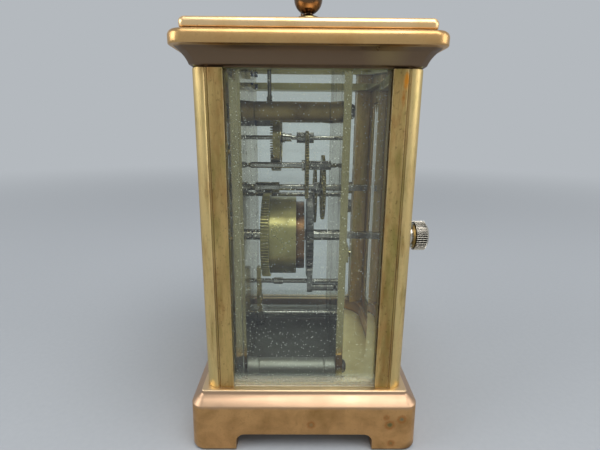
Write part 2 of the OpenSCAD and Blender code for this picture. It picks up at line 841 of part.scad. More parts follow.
module case_screws() color("dimgray") placed() {
    pillar_places()
        translate([0, 0, floor_z - floor_t - seat])
            screw_up(screw_r, head_r, head_h, base_h - floor_z + floor_t + screw_hold - 1);
    pillar_places()
        translate([0, 0, top_screw_z + seat])
            mirror([0, 0, 1])
                screw_up(screw_r, head_r, head_h, screw_hold + 2);
}

// -------------------------------------------------------------- movement

module plate_blank(y) {
    difference() {
        translate([-plate_w/2, y, floor_z + seat])
            cube([plate_w, plate_t, plate_top - floor_z - seat]);
        for (sx = [-1, 1], z = [strut_low, strut_high])
            rod([sx*strut_x, z], strut_stud_r + seat, y - 1, y + plate_t + 1);
        for (p = [intermediate_at, third_at, contrate_at, cross_at, lifting_at])
            rod(p, pivot_r + fit, y - 1, y + plate_t + 1);
        // tapped holes in the foot of the plate
        for (s = [-1, 1])
            translate([s*foot_screw_x, y + plate_t/2, floor_z - 1])
                cylinder(r = foot_screw_r + seat, h = foot_screw_l);
    }
}

module front_plate() color("darkkhaki") placed() difference() {
    union() {
        plate_blank(front_out);
        // stud for the minute wheel
        rod(minute_at, minute_stud_r, hour_y - 0.2, front_out + 0.5);
    }
    rod(barrel_at, arbor_r - 0.7 + fit, front_out - 1, front_in + 1);
    rod(centre_at, centre_front_r + fit, front_out - 1, front_in + 1);
    // sockets for the feet of the dial and of its mask
    for (s = [-1, 1], z = [-1, 1]) {
        rod([s*dial_foot, centre_at[1] + z*dial_foot], foot_pin_r + seat, front_out - 1, front_in + 1);
        rod([s*mask_foot_x, centre_at[1] + z*mask_foot_z], foot_pin_r + seat, front_out - 1, front_in + 1);
    }
    potence_holes(front_out - 1, plate_t + 2);
    bracket_holes(front_out - 1, plate_t + 2);
}

module back_plate() color("darkkhaki") placed() difference() {
    plate_blank(back_in);
    rod(barrel_at, arbor_r + fit, back_in - 1, back_out + 1);
    rod(centre_at, centre_back_r + fit, back_in - 1, back_out + 1);
    rod(click_at, click_stud_r + fit, back_in - 1, back_out + 1);
    rod(stop_at, stop_r + seat, back_in - 1, back_out + 1);
    for (s = [-1, 1])
        rod([s*block_screw_x, block_screw_z], block_screw_r + seat, back_in - 1, back_out + 1);
}

module movement_pillars() color("darkolivegreen") placed() for (sx = [-1, 1], z = [strut_low, strut_high])
    translate([sx*strut_x, 0, z])
        difference() {
            union() {
                translate([0, front_in + seat, 0]) rotate([-90, 0, 0]) rotate_extrude() strut_profile();
                rod([0, 0], strut_stud_r, front_out + 0.2, back_out - 0.2);
            }
            rod([0, 0], strut_tap_r + seat, front_out - 1, front_out + strut_tap_l + 0.3);
            rod([0, 0], strut_tap_r + seat, back_out - strut_tap_l - 0.3, back_out + 1);
        }

// A turned pillar: flared ends and a ring groove near each of them
module strut_profile() {
    l = plate_gap - 2*seat;
    r = strut_d/2;
    e = 0.12*l;
    polygon([[0, 0], [r, 0], [r - 0.3, e], [r - 0.6, e + 0.2], [r - 0.3, e + 0.5],
        [r - 0.25, l/2], [r - 0.3, l - e - 0.5], [r - 0.6, l - e - 0.2], [r - 0.3, l - e],
        [r, l], [0, l]]);
}

// Domed screws in the ends of the pillars, screws up into the feet of the plates,
// and the round-headed stop screw behind the back plate
module plate_screws() color("dimgray") placed() {
    for (sx = [-1, 1], z = [strut_low, strut_high]) {
        translate([sx*strut_x, back_out + seat, z]) rotate([-90, 0, 0]) domed_screw();
        translate([sx*strut_x, front_out - seat, z]) rotate([90, 0, 0]) domed_screw();
    }
    for (s = [-1, 1], y = plate_middles)
        translate([s*foot_screw_x, y, floor_z - floor_t - seat])
            screw_up(foot_screw_r, 1.6, 1.1, foot_screw_l - 1.2);
    rod(stop_at, stop_r, back_in + 0.3, back_out + 1);
    rod(stop_at, 2.6, back_out + seat, back_out + 4.4);
}

module domed_screw() {
    difference() {
        union() {
            rotate_extrude()
                polygon([[0, 0], [2.4, 0], [2.4, 0.7], [2, 1.3], [1.1, 1.65], [0, 1.75]]);
            translate([0, 0, -strut_tap_l]) cylinder(r = strut_tap_r, h = strut_tap_l + 0.5);
        }
        translate([-3, -0.25, 1.1]) cube([6, 0.5, 1]);
    }
}

// ----------------------------------------------------- dial, hands, motion

module dial() color("ivory") placed() difference() {
    union() {
        rod(centre_at, dial_d/2, dial_face_y, dial_y);
        for (s = [-1, 1], z = [-1, 1])
            rod([s*dial_foot, centre_at[1] + z*dial_foot], foot_pin_r, dial_y - 0.1, front_in - 0.3);
    }
    rod(centre_at, pipe_r + 0.4, dial_face_y - 1, dial_y + 1);
}

// The mask frames the dial and stands on four feet in the front plate
module dial_mask() color("gold") placed() difference() {
    union() {
        translate([-mask_w/2, dial_face_y + 0.1, ledge_z + 0.6])
            cube([mask_w, 0.9, open_h - 1.2]);
        for (s = [-1, 1], z = [-1, 1])
            rod([s*mask_foot_x, centre_at[1] + z*mask_foot_z], foot_pin_r,
                dial_face_y + 0.3, front_in - 0.3);
    }
    rod(centre_at, dial_d/2 + 0.1, dial_face_y - 1, dial_y + 1);
}

module hour_hand() color("midnightblue") placed()
    hand(hour_hand_y, hour_hand_l, hour_leaf_w, hour_boss_r, pipe_r - pipe_step + seat, hour_turn);
module minute_hand() color("midnightblue") placed()
    hand(minute_hand_y, minute_hand_l, minute_leaf_w, minute_boss_r, cannon_r - cannon_step + seat, 0);

// A spade hand: boss, slim shank and leaf, pointing at the clock angle turn
module hand(y, length, leaf, boss, bore, turn) {
    stem = hand_stem_w/2;
    difference() {
        union() {
            rod(centre_at, boss, y, y + hand_t);
            along_y(centre_at, y, hand_t)
                rotate(-turn)
                    polygon([[-stem, 0], [-stem, 0.66*length], [-leaf/2, 0.8*length], [0, length],
                        [leaf/2, 0.8*length], [stem, 0.66*length], [stem, 0]]);
            along_y(centre_at, y, hand_t)
                rotate(-turn)
                    translate([0, 0.6*length])
                        circle(r = hand_knot_r);
        }
        rod(centre_at, bore, y - 1, y + hand_t + 1);
    }
}

module cannon_pinion() color("steelblue") placed() difference() {
    union() {
        along_y(centre_at, motion_y, 0.75)
            pinion_outline(cannon_leaves, motion_m, 180/cannon_leaves);
        rod(centre_at, cannon_r, minute_hand_y + hand_t + fit, motion_y);
        rod(centre_at, cannon_r - cannon_step, minute_hand_y - 0.15, motion_y);
    }
    rod(centre_at, dial_arbor_r + seat, dial_face_y - 3, motion_y + 2);
}

module minute_wheel() color("goldenrod") placed() difference() {
    union() {
        along_y(minute_at, motion_y, 0.75)
            wheel_outline(minute_teeth, motion_m, 180);
        along_y(minute_at, hour_y, 1.05)
            pinion_outline(minute_leaves, hour_m, 180 + 180/minute_leaves);
    }
    rod(minute_at, minute_stud_r + fit, hour_y - 1, motion_y + 2);
}

module hour_wheel() color("goldenrod") placed() difference() {
    union() {
        along_y(centre_at, hour_y, 0.75)
            wheel_outline(hour_teeth, hour_m, 0);
        rod(centre_at, pipe_r, hour_hand_y + hand_t + seat, hour_y + 0.2);
        rod(centre_at, pipe_r - pipe_step, hour_hand_y - 0.1, hour_y + 0.2);
    }
    rod(centre_at, cannon_r + fit, dial_face_y - 3, hour_y + 2);
}

// ----------------------------------------------------------------- train

// An arbor between the plates: pivots in both plates and a body between them
module arbor(at, r, y0 = front_in + 0.3, y1 = back_in - 0.3) {
    rod(at, r, y0, y1);
    rod(at, pivot_r, front_out + 0.2, back_out - 0.2);
}

module centre_arbor() color("silver") placed() {
    rod(centre_at, centre_r, front_in + 0.3, back_in - 0.3);
    rod(centre_at, 2.1, front_in + 1.6, front_in + 11);
    rod(centre_at, centre_front_r, front_out, front_in + 0.4);
    rod(centre_at, dial_arbor_r, minute_hand_y - 0.45, front_out + 0.1);
    along_y(centre_at, centre_pinion_y, centre_wheel_y - centre_pinion_y - 0.1)
        pinion_outline(centre_leaves, intermediate_m,
            angle_to(intermediate_at, centre_at) + 180 + 180/centre_leaves);
    rod(centre_at, centre_back_r, back_in - 0.4, back_out + 0.4);
    rod(centre_at, 2.3, back_out + 0.3, back_out + 4.8);
    square_rod(centre_at, square_hand, back_out + 4.7, hand_key_end_y);
}

module centre_wheel() color("goldenrod") placed() difference() {
    along_y(centre_at, centre_wheel_y, wheel_t)
        crossed(pitch(centre_teeth, centre_m) - 2.2, 3, 4, 1.6)
            wheel_outline(centre_teeth, centre_m, angle_to(centre_at, third_at));
    rod(centre_at, centre_r + seat, centre_wheel_y - 1, centre_wheel_y + wheel_t + 1);
}

module intermediate_arbor() color("silver") placed() {
    arbor(intermediate_at, 0.9);
    along_y(intermediate_at, barrel_wheel_y - 0.6, barrel_wheel_t + 1.2)
        pinion_outline(intermediate_leaves, barrel_m,
            angle_to(barrel_at, intermediate_at) + 180 + 180/intermediate_leaves);
    rod(intermediate_at, 1.9, intermediate_wheel_y - 1.3, intermediate_wheel_y - 0.05);
}

module intermediate_wheel() color("goldenrod") placed() difference() {
    along_y(intermediate_at, intermediate_wheel_y, wheel_t)
        crossed(pitch(intermediate_teeth, intermediate_m) - 2.2, 3, 4, 1.6)
            wheel_outline(intermediate_teeth, intermediate_m, angle_to(intermediate_at, centre_at));
    rod(intermediate_at, 0.9 + seat, intermediate_wheel_y - 1, intermediate_wheel_y + wheel_t + 1);
}

module third_arbor() color("silver") placed() {
    arbor(third_at, 0.8);
    rod(third_at, 1.1, front_in + 1, third_wheel_y - 1.2);
    rod(third_at, 1.9, third_wheel_y - 1.3, third_wheel_y - 0.05);
    along_y(third_at, third_wheel_y + wheel_t + 0.1, third_pinion_l)
        pinion_outline(third_leaves, centre_m,
            angle_to(centre_at, third_at) + 180 + 180/third_leaves);
}

module third_wheel() color("goldenrod") placed() difference() {
    along_y(third_at, third_wheel_y, wheel_t)
        crossed(pitch(third_teeth, third_m) - 1.9, 2.6, 4, 1.5)
            wheel_outline(third_teeth, third_m, angle_to(third_at, contrate_at));
    rod(third_at, 0.8 + seat, third_wheel_y - 1, third_wheel_y + wheel_t + 1);
}

module contrate_arbor() color("silver") placed() {
    arbor(contrate_at, 0.8);
    rod(contrate_at, 1.9, contrate_disc_y + wheel_t + 0.05, contrate_disc_y + wheel_t + 1.4);
    rod(contrate_at, 1.5, contrate_disc_y + wheel_t + 1.3, contrate_disc_y + wheel_t + 4);
    along_y(contrate_at, contrate_pinion_y, contrate_pinion_l)
        pinion_outline(contrate_leaves, third_m,
            angle_to(third_at, contrate_at) + 180 + 180/contrate_leaves);
}

// A crown wheel: crossed disc, rim, and teeth that stand forward from the rim
module contrate_wheel() color("goldenrod") placed() difference() {
    union() {
        along_y(contrate_at, contrate_disc_y, wheel_t)
            crossed(contrate_r - 1.6, 2.8, 4, 1.6) circle(r = contrate_r);
        difference() {
            rod(contrate_at, contrate_r, contrate_tip_y + 1, contrate_disc_y + 0.1);
            rod(contrate_at, contrate_r - 0.9, contrate_tip_y - 1, contrate_disc_y + 2);
        }
        crown_teeth();
    }
    rod(contrate_at, 0.8 + seat, contrate_disc_y - 1, contrate_disc_y + wheel_t + 1);
}

module crown_teeth() {
    w = 2*PI*contrate_r/contrate_teeth;
    for (i = [0:contrate_teeth - 1])
        translate([contrate_at[0], contrate_tip_y, contrate_at[1]])
            rotate([0, i*360/contrate_teeth, 0])
                translate([0, 0, contrate_r - 0.85])
                    linear_extrude(0.8)
                        polygon([[-0.06*w, 0], [-0.19*w, 0.45], [-0.21*w, 1.1], [0.21*w, 1.1],
                            [0.19*w, 0.45], [0.06*w, 0]]);
}

// ---------------------------------------------------------------- barrel

module barrel() color("darkkhaki") placed() difference() {
    union() {
        along_y(barrel_at, barrel_wheel_y, barrel_wheel_t)
            wheel_outline(barrel_teeth, barrel_m, angle_to(barrel_at, intermediate_at));
        rod(barrel_at, drum_r, barrel_wheel_y + 1, drum_end_y);
    }
    rod(barrel_at, drum_r - drum_wall, barrel_wheel_y + 1.4, drum_end_y + 1);
    rod(barrel_at, arbor_r + fit, barrel_wheel_y - 1, drum_end_y);
}

module barrel_cap() color("sienna") placed() difference() {
    union() {
        rod(barrel_at, drum_r - drum_wall - seat, drum_end_y - cap_t, drum_end_y);
        rod(barrel_at, drum_r - drum_wall - 0.8, drum_end_y - 0.2, drum_end_y + 3.2);
    }
    rod(barrel_at, arbor_r + fit, drum_end_y - cap_t - 1, drum_end_y + 4);
}

// Points of a flat spiral from radius r0 to r1, in turns, 16 steps a turn
function spiral(r0, r1, turns) =
    [for (i = [0:16*turns])
        let (r = r0 + (r1 - r0)*i/(16*turns))
        let (a = 360*i/16)
        r*[cos(a), sin(a)]];

// A wound strip: one wall between two spirals
module wound_strip(r0, r1, turns, strip) {
    inner = spiral(r0, r1, turns);
    outer = spiral(r0 + strip, r1 + strip, turns);
    n = len(outer);
    polygon(concat(inner, [for (i = [n - 1:-1:0]) outer[i]]));
}

module mainspring() color("slategray") placed()
    along_y(barrel_at, barrel_wheel_y + 1.9, drum_end_y - cap_t - barrel_wheel_y - 2.4)
        wound_strip(4.2, drum_r - drum_wall - 0.35 - seat, 9, 0.35);

module barrel_arbor() color("silver") placed() {
    rod(barrel_at, arbor_r - 0.7, front_out + 0.2, front_in + 0.5);
    rod(barrel_at, arbor_r, front_in + 0.3, back_out + 1.1);
    rod(barrel_at, 4.1, barrel_wheel_y + 1.9, drum_end_y - cap_t - 0.5);
    square_rod(barrel_at, square_w, back_out + 1, key_end_y);
}

module ratchet_wheel() color("dimgray") placed() difference() {
    along_y(barrel_at, ratchet_y, ratchet_t)
        polygon([for (i = [0:ratchet_teeth - 1], j = [0, 1])
            let (a = i*360/ratchet_teeth + j*1.2)
            (j == 0 ? ratchet_r : ratchet_r - 1.3)*[cos(a), sin(a)]]);
    rod(barrel_at, arbor_r + seat, ratchet_y - 1, ratchet_y + ratchet_t + 1);
}

// The click and its stud swing on the back plate, just clear of the ratchet's tips
module click() color("dimgray") placed() {
    rod(click_at, click_stud_r, ratchet_y + 0.2, back_out - 0.2);
    along_y(click_at, ratchet_y + 0.2, ratchet_t - 0.4)
        rotate(angle_to(click_at, barrel_at) - 59)
            union() {
                circle(r = 2);
                polygon([[0, -1.8], [7.2, 1.1], [7.6, 2.0], [0, 1.8]]);
            }
    rod(click_at, 1.4, ratchet_y + ratchet_t - 0.3, back_in - 0.3);
}

// The block screwed behind the back plate, hollowed round the winding arbor
module barrel_cock() color("darkkhaki") placed() difference() {
    union() {
        translate([-7.5, back_out + seat, barrel_z - 9.4]) cube([15, 3.4, 6.4]);
        for (s = [-1, 1]) {
            rod([s*block_screw_x, block_screw_z], 1.5, back_out + 3.3, back_out + 4.4);
            rod([s*block_screw_x, block_screw_z], block_screw_r, back_in + 0.3, back_out + 1);
        }
    }
    rod(barrel_at, 3.4, back_out - 1, back_out + 6);
}

// -------------------------------------------------- platform escapement

module potence_holes(y, l) {
    for (s = [-1, 1])
        rod([s*3.2, potence_z + potence_t/2], 0.6 + seat, y, y + l);
}

module bracket_holes(y, l) {
    for (s = [-1, 1])
        rod([s*8, platform_z - 2.6], 0.7 + seat, y, y + l);
}

// The lower cock that holds the foot of the escape arbor
module potence() color("dimgray") placed() difference() {
    union() {
        translate([-5, front_in + seat, potence_z]) cube([10, 2, potence_t]);
        translate([-1.8, front_in + seat, potence_z])
            cube([3.6, escape_y + 1.6 - front_in, potence_t]);
    }
    translate([0, escape_y, potence_z - 1]) cylinder(r = staff_r + fit, h = potence_t + 2);
    potence_holes(front_in - 1, 4);
}

module platform() color("darkkhaki") placed() difference() {
    union() {
        translate([platform_left, platform_front, platform_z])
            cube([platform_right - platform_left, platform_back - platform_front, platform_t]);
        // the angle that carries the platform on the front plate
        translate([-10.5, front_in + seat, platform_z - 4.4])
            cube([21, 1.6, 4.5]);
    }
    translate([0, escape_y, platform_z - 1]) cylinder(r = 1.5, h = platform_t + 2);
    for (x = [lever_x, balance_x])
        translate([x, escape_y, platform_z - 1]) cylinder(r = staff_r + fit, h = platform_t + 2);
    for (x = [lever_x, balance_x])
        translate([x, escape_y, platform_z + 0.6]) cylinder(r = 1.3, h = platform_t);
    bracket_holes(front_in - 1, 4);
    for (p = platform_screw_places)
        translate([p[0], p[1], platform_z - 1]) cylinder(r = 0.6 + seat, h = 12);
}

module platform_screws() color("royalblue") placed() {
    translate([platform_screw_places[0][0], platform_screw_places[0][1], low_cock_z + low_cock_t + seat])
        top_screw(3.6);
    for (i = [1, 2])
        translate([platform_screw_places[i][0], platform_screw_places[i][1], cock_z + cock_t + seat])
            top_screw(5.6);
    for (s = [-1, 1])
        translate([s*8, front_in + 1.6 + seat + seat, platform_z - 2.6])
            rotate([-90, 0, 0]) top_screw(3);
    for (s = [-1, 1])
        translate([s*3.2, front_in + 2 + 2*seat, potence_z + potence_t/2])
            rotate([-90, 0, 0]) top_screw(3);
}

// A small screw pointing down from the underside of its head
module top_screw(length) {
    difference() {
        union() {
            cylinder(r = 1.05, h = 0.7);
            translate([0, 0, -length]) cylinder(r = 0.6, h = length + 0.1);
        }
        translate([-2, -0.15, 0.4]) cube([4, 0.3, 1]);
    }
}

module upright(at, r, z0, z1) {
    translate([at[0], at[1], z0]) cylinder(r = r, h = z1 - z0);
}

module escape_arbor() color("silver") placed() {
    at = [0, escape_y];
    upright(at, staff_r, potence_z + 0.2, low_cock_z + low_cock_t - 0.2);
    upright(at, 0.75, pinion_low_z - 1.5, escape_z + 0.9);
    translate([at[0], at[1], pinion_low_z])
        linear_extrude(5)
            pinion_outline(escape_leaves, escape_m*0.94, 90 + 180/escape_leaves);
}

module escape_wheel() color("goldenrod") placed() difference() {
    translate([0, escape_y, escape_z])
        linear_extrude(0.5)
            crossed(escape_d/2 - 1.2, 1.3, 4, 0.5)
                polygon([for (i = [0:escape_teeth - 1], j = [0, 1, 2])
                    let (a = 360*(i + [0, 0.18, 0.5][j])/escape_teeth)
                    let (r = j == 2 ? escape_d/2 - 0.8 : escape_d/2)
                    let (lean = j == 2 ? 8 : 0)
                    r*[cos(a - lean), sin(a - lean)]]);
    translate([0, escape_y, escape_z - 1]) cylinder(r = 0.75 + seat, h = 3);
}

// Pallet anchor and fork on one staff
module pallet_lever() color("lightsteelblue") placed() {
    upright([lever_x, escape_y], staff_r, platform_z + 0.2, low_cock_z + low_cock_t - 0.2);
    translate([lever_x, escape_y, escape_z + 0.02])
        linear_extrude(0.45)
            union() {
                circle(r = 0.8);
                for (s = [-1, 1])
                    polygon([[-0.3, 0], [pallet_x, s*2.12], [pallet_x + 0.4, s*2.75],
                        [0.3, s*0.75], [0.3, 0]]);
                // fork, open towards the balance
                translate([0, -0.35]) square([fork_x - 1.5, 0.7]);
                for (s = [-1, 1])
                    translate([fork_x - 1.7, s*0.62 - 0.22]) square([1.7, 0.44]);
                translate([fork_x - 1.9, -0.84]) square([0.6, 1.68]);
            }
}

module balance_staff() color("silver") placed() {
    at = [balance_x, escape_y];
    upright(at, staff_r, platform_z + 0.2, cock_z + cock_t - 0.2);
    upright(at, 0.6, platform_z + platform_t + 0.3, balance_z + 1.4);
    upright(at, 1.6, escape_z + 0.7, escape_z + 1);
    upright([balance_x - impulse_r, escape_y], 0.22, escape_z + 0.1, escape_z + 0.8);
}

module balance_wheel() color("goldenrod") placed() difference() {
    translate([balance_x, escape_y, balance_z])
        linear_extrude(0.85)
            crossed(balance_d/2 - 0.9, 1.3, 2, 0.9) circle(r = balance_d/2);
    upright([balance_x, escape_y], 0.6 + seat, balance_z - 1, balance_z + 3);
}

module hairspring() color("steelblue") placed()
    translate([balance_x, escape_y, balance_z + 1.05])
        linear_extrude(0.3)
            wound_strip(1, spring_r, 6, spring_t);

// The high cock over the balance, and the low one over the escape wheel and lever
module platform_cocks() color("darkkhaki") placed() {
    high_cock();
    low_cock();
}

module low_cock() difference() {
    union() {
        translate([platform_left + 0.6, escape_y - 2.5, platform_z + platform_t + seat])
            cube([4.4, 5, low_cock_z - platform_z - platform_t]);
        translate([platform_left + 0.6, escape_y - 1.5, low_cock_z])
            cube([lever_x + 1 - platform_left - 0.6, 3, low_cock_t]);
    }
    for (x = [0, lever_x])
        upright([x, escape_y], staff_r + fit, low_cock_z - 1, low_cock_z + low_cock_t + 1);
    upright(platform_screw_places[0], 0.6 + seat, platform_z, low_cock_z + 3);
}

module high_cock() difference() {
    union() {
        translate([platform_right - cock_post_t, platform_front + 0.6, platform_z + platform_t + seat])
            cube([cock_post_t, platform_back - platform_front - 1.2,
                cock_z - platform_z - platform_t + cock_t - seat]);
        translate([balance_x, escape_y - 1.6, cock_z])
            cube([platform_right - balance_x - 0.1, 3.2, cock_t]);
        upright([balance_x, escape_y], 2.2, cock_z, cock_z + cock_t);
        // the collar that the regulator turns on, and the hairspring's stud
        upright([balance_x, escape_y], 0.9, cock_z + 0.1, cock_z + cock_t + 0.6);
        upright([balance_x + spring_r + spring_t + stud_r, escape_y], stud_r, balance_z + 1.05, cock_z + 0.2);
    }
    upright([balance_x, escape_y], staff_r + fit, cock_z - 1, cock_z + cock_t + 1);
    for (i = [1, 2])
        upright(platform_screw_places[i], 0.6 + seat, platform_z, cock_z + 3);
}

module regulator() color("steelblue") placed() difference() {
    translate([0, 0, cock_z + cock_t + 0.1])
        union() {
            upright([balance_x, escape_y], 1.9, 0, 0.4);
            translate([balance_x - 6.5, escape_y - 0.3, 0]) cube([5.5, 0.6, 0.4]);
        }
    upright([balance_x, escape_y], 0.9 + fit, cock_z, cock_z + 5);
}

// ------------------------------------------------------------ lower work

module cross_arbor() color("silver") placed() {
    arbor(cross_at, 1);
    rod(cross_at, 1.5, front_in + 8, front_in + 12);
}

module lifting_arbor() color("silver") placed() {
    arbor(lifting_at, 1);
    translate([lifting_at[0] - 1.6, front_in + 1.4, lifting_at[1] - 5.4]) cube([3.2, 3, 6.4]);
}

// A stepped arm that stands on the steel foot of its arbor
module lifting_arm() color("goldenrod") placed()
    for (i = [0:2])
        translate([-1.9 + 0.25*i, front_in + 1.5, lifting_at[1] + 1 + seat + 6.4*i])
            cube([3.8 - 0.5*i, 2.1 - 0.2*i, 6.6]);

// ------------------------------------------------------------------ draw

base_moulding();
floor_plate();
pillar_front_left();
pillar_front_right();
pillar_rear_left();
pillar_rear_right();
cornice();
top_plate();
top_glass();
front_glass();
side_glass_left();
side_glass_right();
door_frame();
door_glass();
hinge_pins();
door_knob();
door_latch();
handle_posts();
handle_bail();
case_screws();
front_plate();
back_plate();
movement_pillars();
plate_screws();
dial();
dial_mask();
hour_hand();
minute_hand();
cannon_pinion();
minute_wheel();
hour_wheel();
centre_arbor();
centre_wheel();
barrel();
barrel_cap();
mainspring();
barrel_arbor();
ratchet_wheel();
click();
barrel_cock();
intermediate_arbor();
intermediate_wheel();
third_arbor();
third_wheel();
contrate_arbor();
contrate_wheel();
potence();
platform();
platform_screws();
escape_arbor();
escape_wheel();
pallet_lever();
balance_staff();
balance_wheel();
hairspring();
platform_cocks();
regulator();
lifting_arbor();
lifting_arm();
cross_arbor();
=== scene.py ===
import bpy
import math
from mathutils import Matrix, Vector
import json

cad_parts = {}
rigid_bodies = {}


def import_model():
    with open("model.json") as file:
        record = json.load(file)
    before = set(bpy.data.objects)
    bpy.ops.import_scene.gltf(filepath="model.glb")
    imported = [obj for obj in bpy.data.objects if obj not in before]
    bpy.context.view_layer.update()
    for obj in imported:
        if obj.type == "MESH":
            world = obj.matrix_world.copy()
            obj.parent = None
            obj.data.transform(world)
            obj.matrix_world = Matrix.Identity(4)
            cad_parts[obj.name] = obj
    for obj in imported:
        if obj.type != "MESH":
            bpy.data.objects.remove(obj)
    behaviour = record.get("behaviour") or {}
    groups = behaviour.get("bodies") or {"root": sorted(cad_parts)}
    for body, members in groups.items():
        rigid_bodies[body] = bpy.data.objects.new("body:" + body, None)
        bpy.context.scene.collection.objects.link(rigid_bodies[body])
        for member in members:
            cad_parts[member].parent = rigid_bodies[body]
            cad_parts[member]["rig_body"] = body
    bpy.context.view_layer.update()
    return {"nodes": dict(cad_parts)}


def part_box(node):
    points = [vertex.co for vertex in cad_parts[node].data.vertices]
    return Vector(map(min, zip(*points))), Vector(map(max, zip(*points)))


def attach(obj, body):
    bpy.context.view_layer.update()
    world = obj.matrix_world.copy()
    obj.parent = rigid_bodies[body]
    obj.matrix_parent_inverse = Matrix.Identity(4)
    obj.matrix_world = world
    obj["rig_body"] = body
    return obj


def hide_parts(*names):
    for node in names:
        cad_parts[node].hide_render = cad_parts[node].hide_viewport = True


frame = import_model()

# ---------------------------------------------------------------- base moulding
# The base is cast brass, gilt long ago and now a brown gold. Handling has rubbed its sloped
# top pale and pinkish, which is painted paler still as a sheen of the light from above; the flat
# rim at its top carries a painted highlight, and damp has left ringed spots near the rear foot,
# rough underneath.
def linear(hex_colour):
    """An sRGB hex colour as the linear colour that a node takes."""
    parts = [int(hex_colour[i:i + 2], 16)/255 for i in (1, 3, 5)]
    return [c/12.92 if c <= 0.04045 else ((c + 0.055)/1.055)**2.4 for c in parts] + [1.0]


def add_node(tree, kind, settings=None, links=None):
    """Adds one node. settings are properties or input values, and links feed inputs.

    An input goes by its name, or by its number where several inputs share one name.
    """
    node = tree.nodes.new(kind)
    for name, value in (settings or {}).items():
        if isinstance(name, str) and hasattr(node, name):
            setattr(node, name, value)
        else:
            node.inputs[name].default_value = value
    for name, source in (links or {}).items():
        tree.links.new(source, node.inputs[name])
    return node


def new_material(name):
    """An empty node material: returns it, its node tree and its output node."""
    material = bpy.data.materials.new(name)
    material.use_nodes = True
    tree = material.node_tree
    tree.nodes.clear()
    return material, tree, tree.nodes.new("ShaderNodeOutputMaterial")


def millimetres(tree, stretch=(1, 1, 1)):
    """Object coordinates in millimetres, so that a noise scale is one over a size in mm."""
    place = add_node(tree, "ShaderNodeTexCoord")
    scale = [1000*s for s in stretch]
    return add_node(tree, "ShaderNodeMapping", {"Scale": scale},
                    {"Vector": place.outputs["Object"]}).outputs["Vector"]


def aged_metal(name, clean, tarnish, grime_and_shade, worn, patch, fleck, rough, stretch=(1, 1, 1),
               edge=0.35, tarnished=0.5, relief=0.04, hollow=1.6, grimy=0.35):
    """Old metal: patches of tarnish, fine flecks, bare edges, and painted shade in the hollows.

    patch and fleck are the sizes of the patches and flecks, edge the radius of the worn
    edges and hollow the reach of the painted shade, all in mm; tarnished is the share of tarnish,
    grimy how strongly the flecks show and relief how far they stand out.
    draws the marks out along an axis.
    """
    material, tree, output = new_material(name)
    where = millimetres(tree, stretch)
    patches = add_node(tree, "ShaderNodeTexNoise",
                       {"Scale": 1/patch, "Detail": 5.0, "Roughness": 0.55, "Distortion": 0.3},
                       {"Vector": where})
    # the more tarnish there is, the lower the values of the noise that count as tarnished
    lowered = 0.4*tarnished
    tarnish_mask = add_node(tree, "ShaderNodeMapRange",
                            {"From Min": 0.62 - lowered, "From Max": 0.92 - lowered},
                            {"Value": patches.outputs[0]})
    flecks = add_node(tree, "ShaderNodeTexNoise",
                      {"Scale": 1/fleck, "Detail": 6.0, "Roughness": 0.7}, {"Vector": where})
    fleck_mask = add_node(tree, "ShaderNodeMapRange",
                          {"From Min": 0.56, "From Max": 0.74, "To Max": grimy},
                          {"Value": flecks.outputs[0]})
    # where the rounded normal leaves the true one, the surface is an edge that has worn bare
    rounded = add_node(tree, "ShaderNodeBevel", {"samples": 6, "Radius": edge/1000})
    surface = add_node(tree, "ShaderNodeNewGeometry")
    bent = add_node(tree, "ShaderNodeVectorMath", {"operation": "DOT_PRODUCT"},
                    {0: rounded.outputs[0], 1: surface.outputs["Normal"]})
    edges = add_node(tree, "ShaderNodeMapRange", {"From Min": 0.985, "From Max": 0.86},
                     {"Value": bent.outputs["Value"]})
    rubbed = add_node(tree, "ShaderNodeMath", {"operation": "MULTIPLY"},
                      {0: edges.outputs[0], 1: flecks.outputs[0]})
    # painted shade: the grime colour is laid into hollows and corners, by how shut in each point is
    depth = add_node(tree, "ShaderNodeAmbientOcclusion", {"samples": 6, "Distance": hollow/1000})
    painted_hollow_shade = add_node(tree, "ShaderNodeMapRange", {"From Min": 0.92, "From Max": 0.3},
                       {"Value": depth.outputs["AO"]})

    colour = add_node(tree, "ShaderNodeMix",
                      {"data_type": "RGBA", "A": linear(clean), "B": linear(tarnish)},
                      {"Factor": tarnish_mask.outputs[0]})
    for layer, mask in ((grime_and_shade, fleck_mask), (grime_and_shade, painted_hollow_shade), (worn, rubbed)):
        colour = add_node(tree, "ShaderNodeMix", {"data_type": "RGBA", "B": linear(layer)},
                          {"Factor": mask.outputs[0], "A": colour.outputs["Result"]})
    roughness = add_node(tree, "ShaderNodeMapRange",
                         {"From Min": 0.3, "From Max": 0.75,
                          "To Min": rough - 0.06, "To Max": rough + 0.12},
                         {"Value": patches.outputs[0]})
    bump = add_node(tree, "ShaderNodeBump", {"Strength": relief*4, "Distance": 0.00006},
                    {"Height": flecks.outputs[0], "Normal": rounded.outputs[0]})
    shader = add_node(tree, "ShaderNodeBsdfPrincipled", {"Metallic": 1.0},
                      {"Base Color": colour.outputs["Result"], "Roughness": roughness.outputs[0],
                       "Normal": bump.outputs[0]})
    tree.links.new(shader.outputs[0], output.inputs["Surface"])
    return material


def lay_over(material, colour, mask):
    """Lays one more colour over a material's metal, where the mask is 1."""
    tree = material.node_tree
    socket = next(n for n in tree.nodes if n.type == "BSDF_PRINCIPLED").inputs["Base Color"]
    layer = add_node(tree, "ShaderNodeMix", {"data_type": "RGBA", "B": linear(colour)},
                     {"Factor": mask, "A": socket.links[0].from_socket})
    tree.links.new(layer.outputs["Result"], socket)


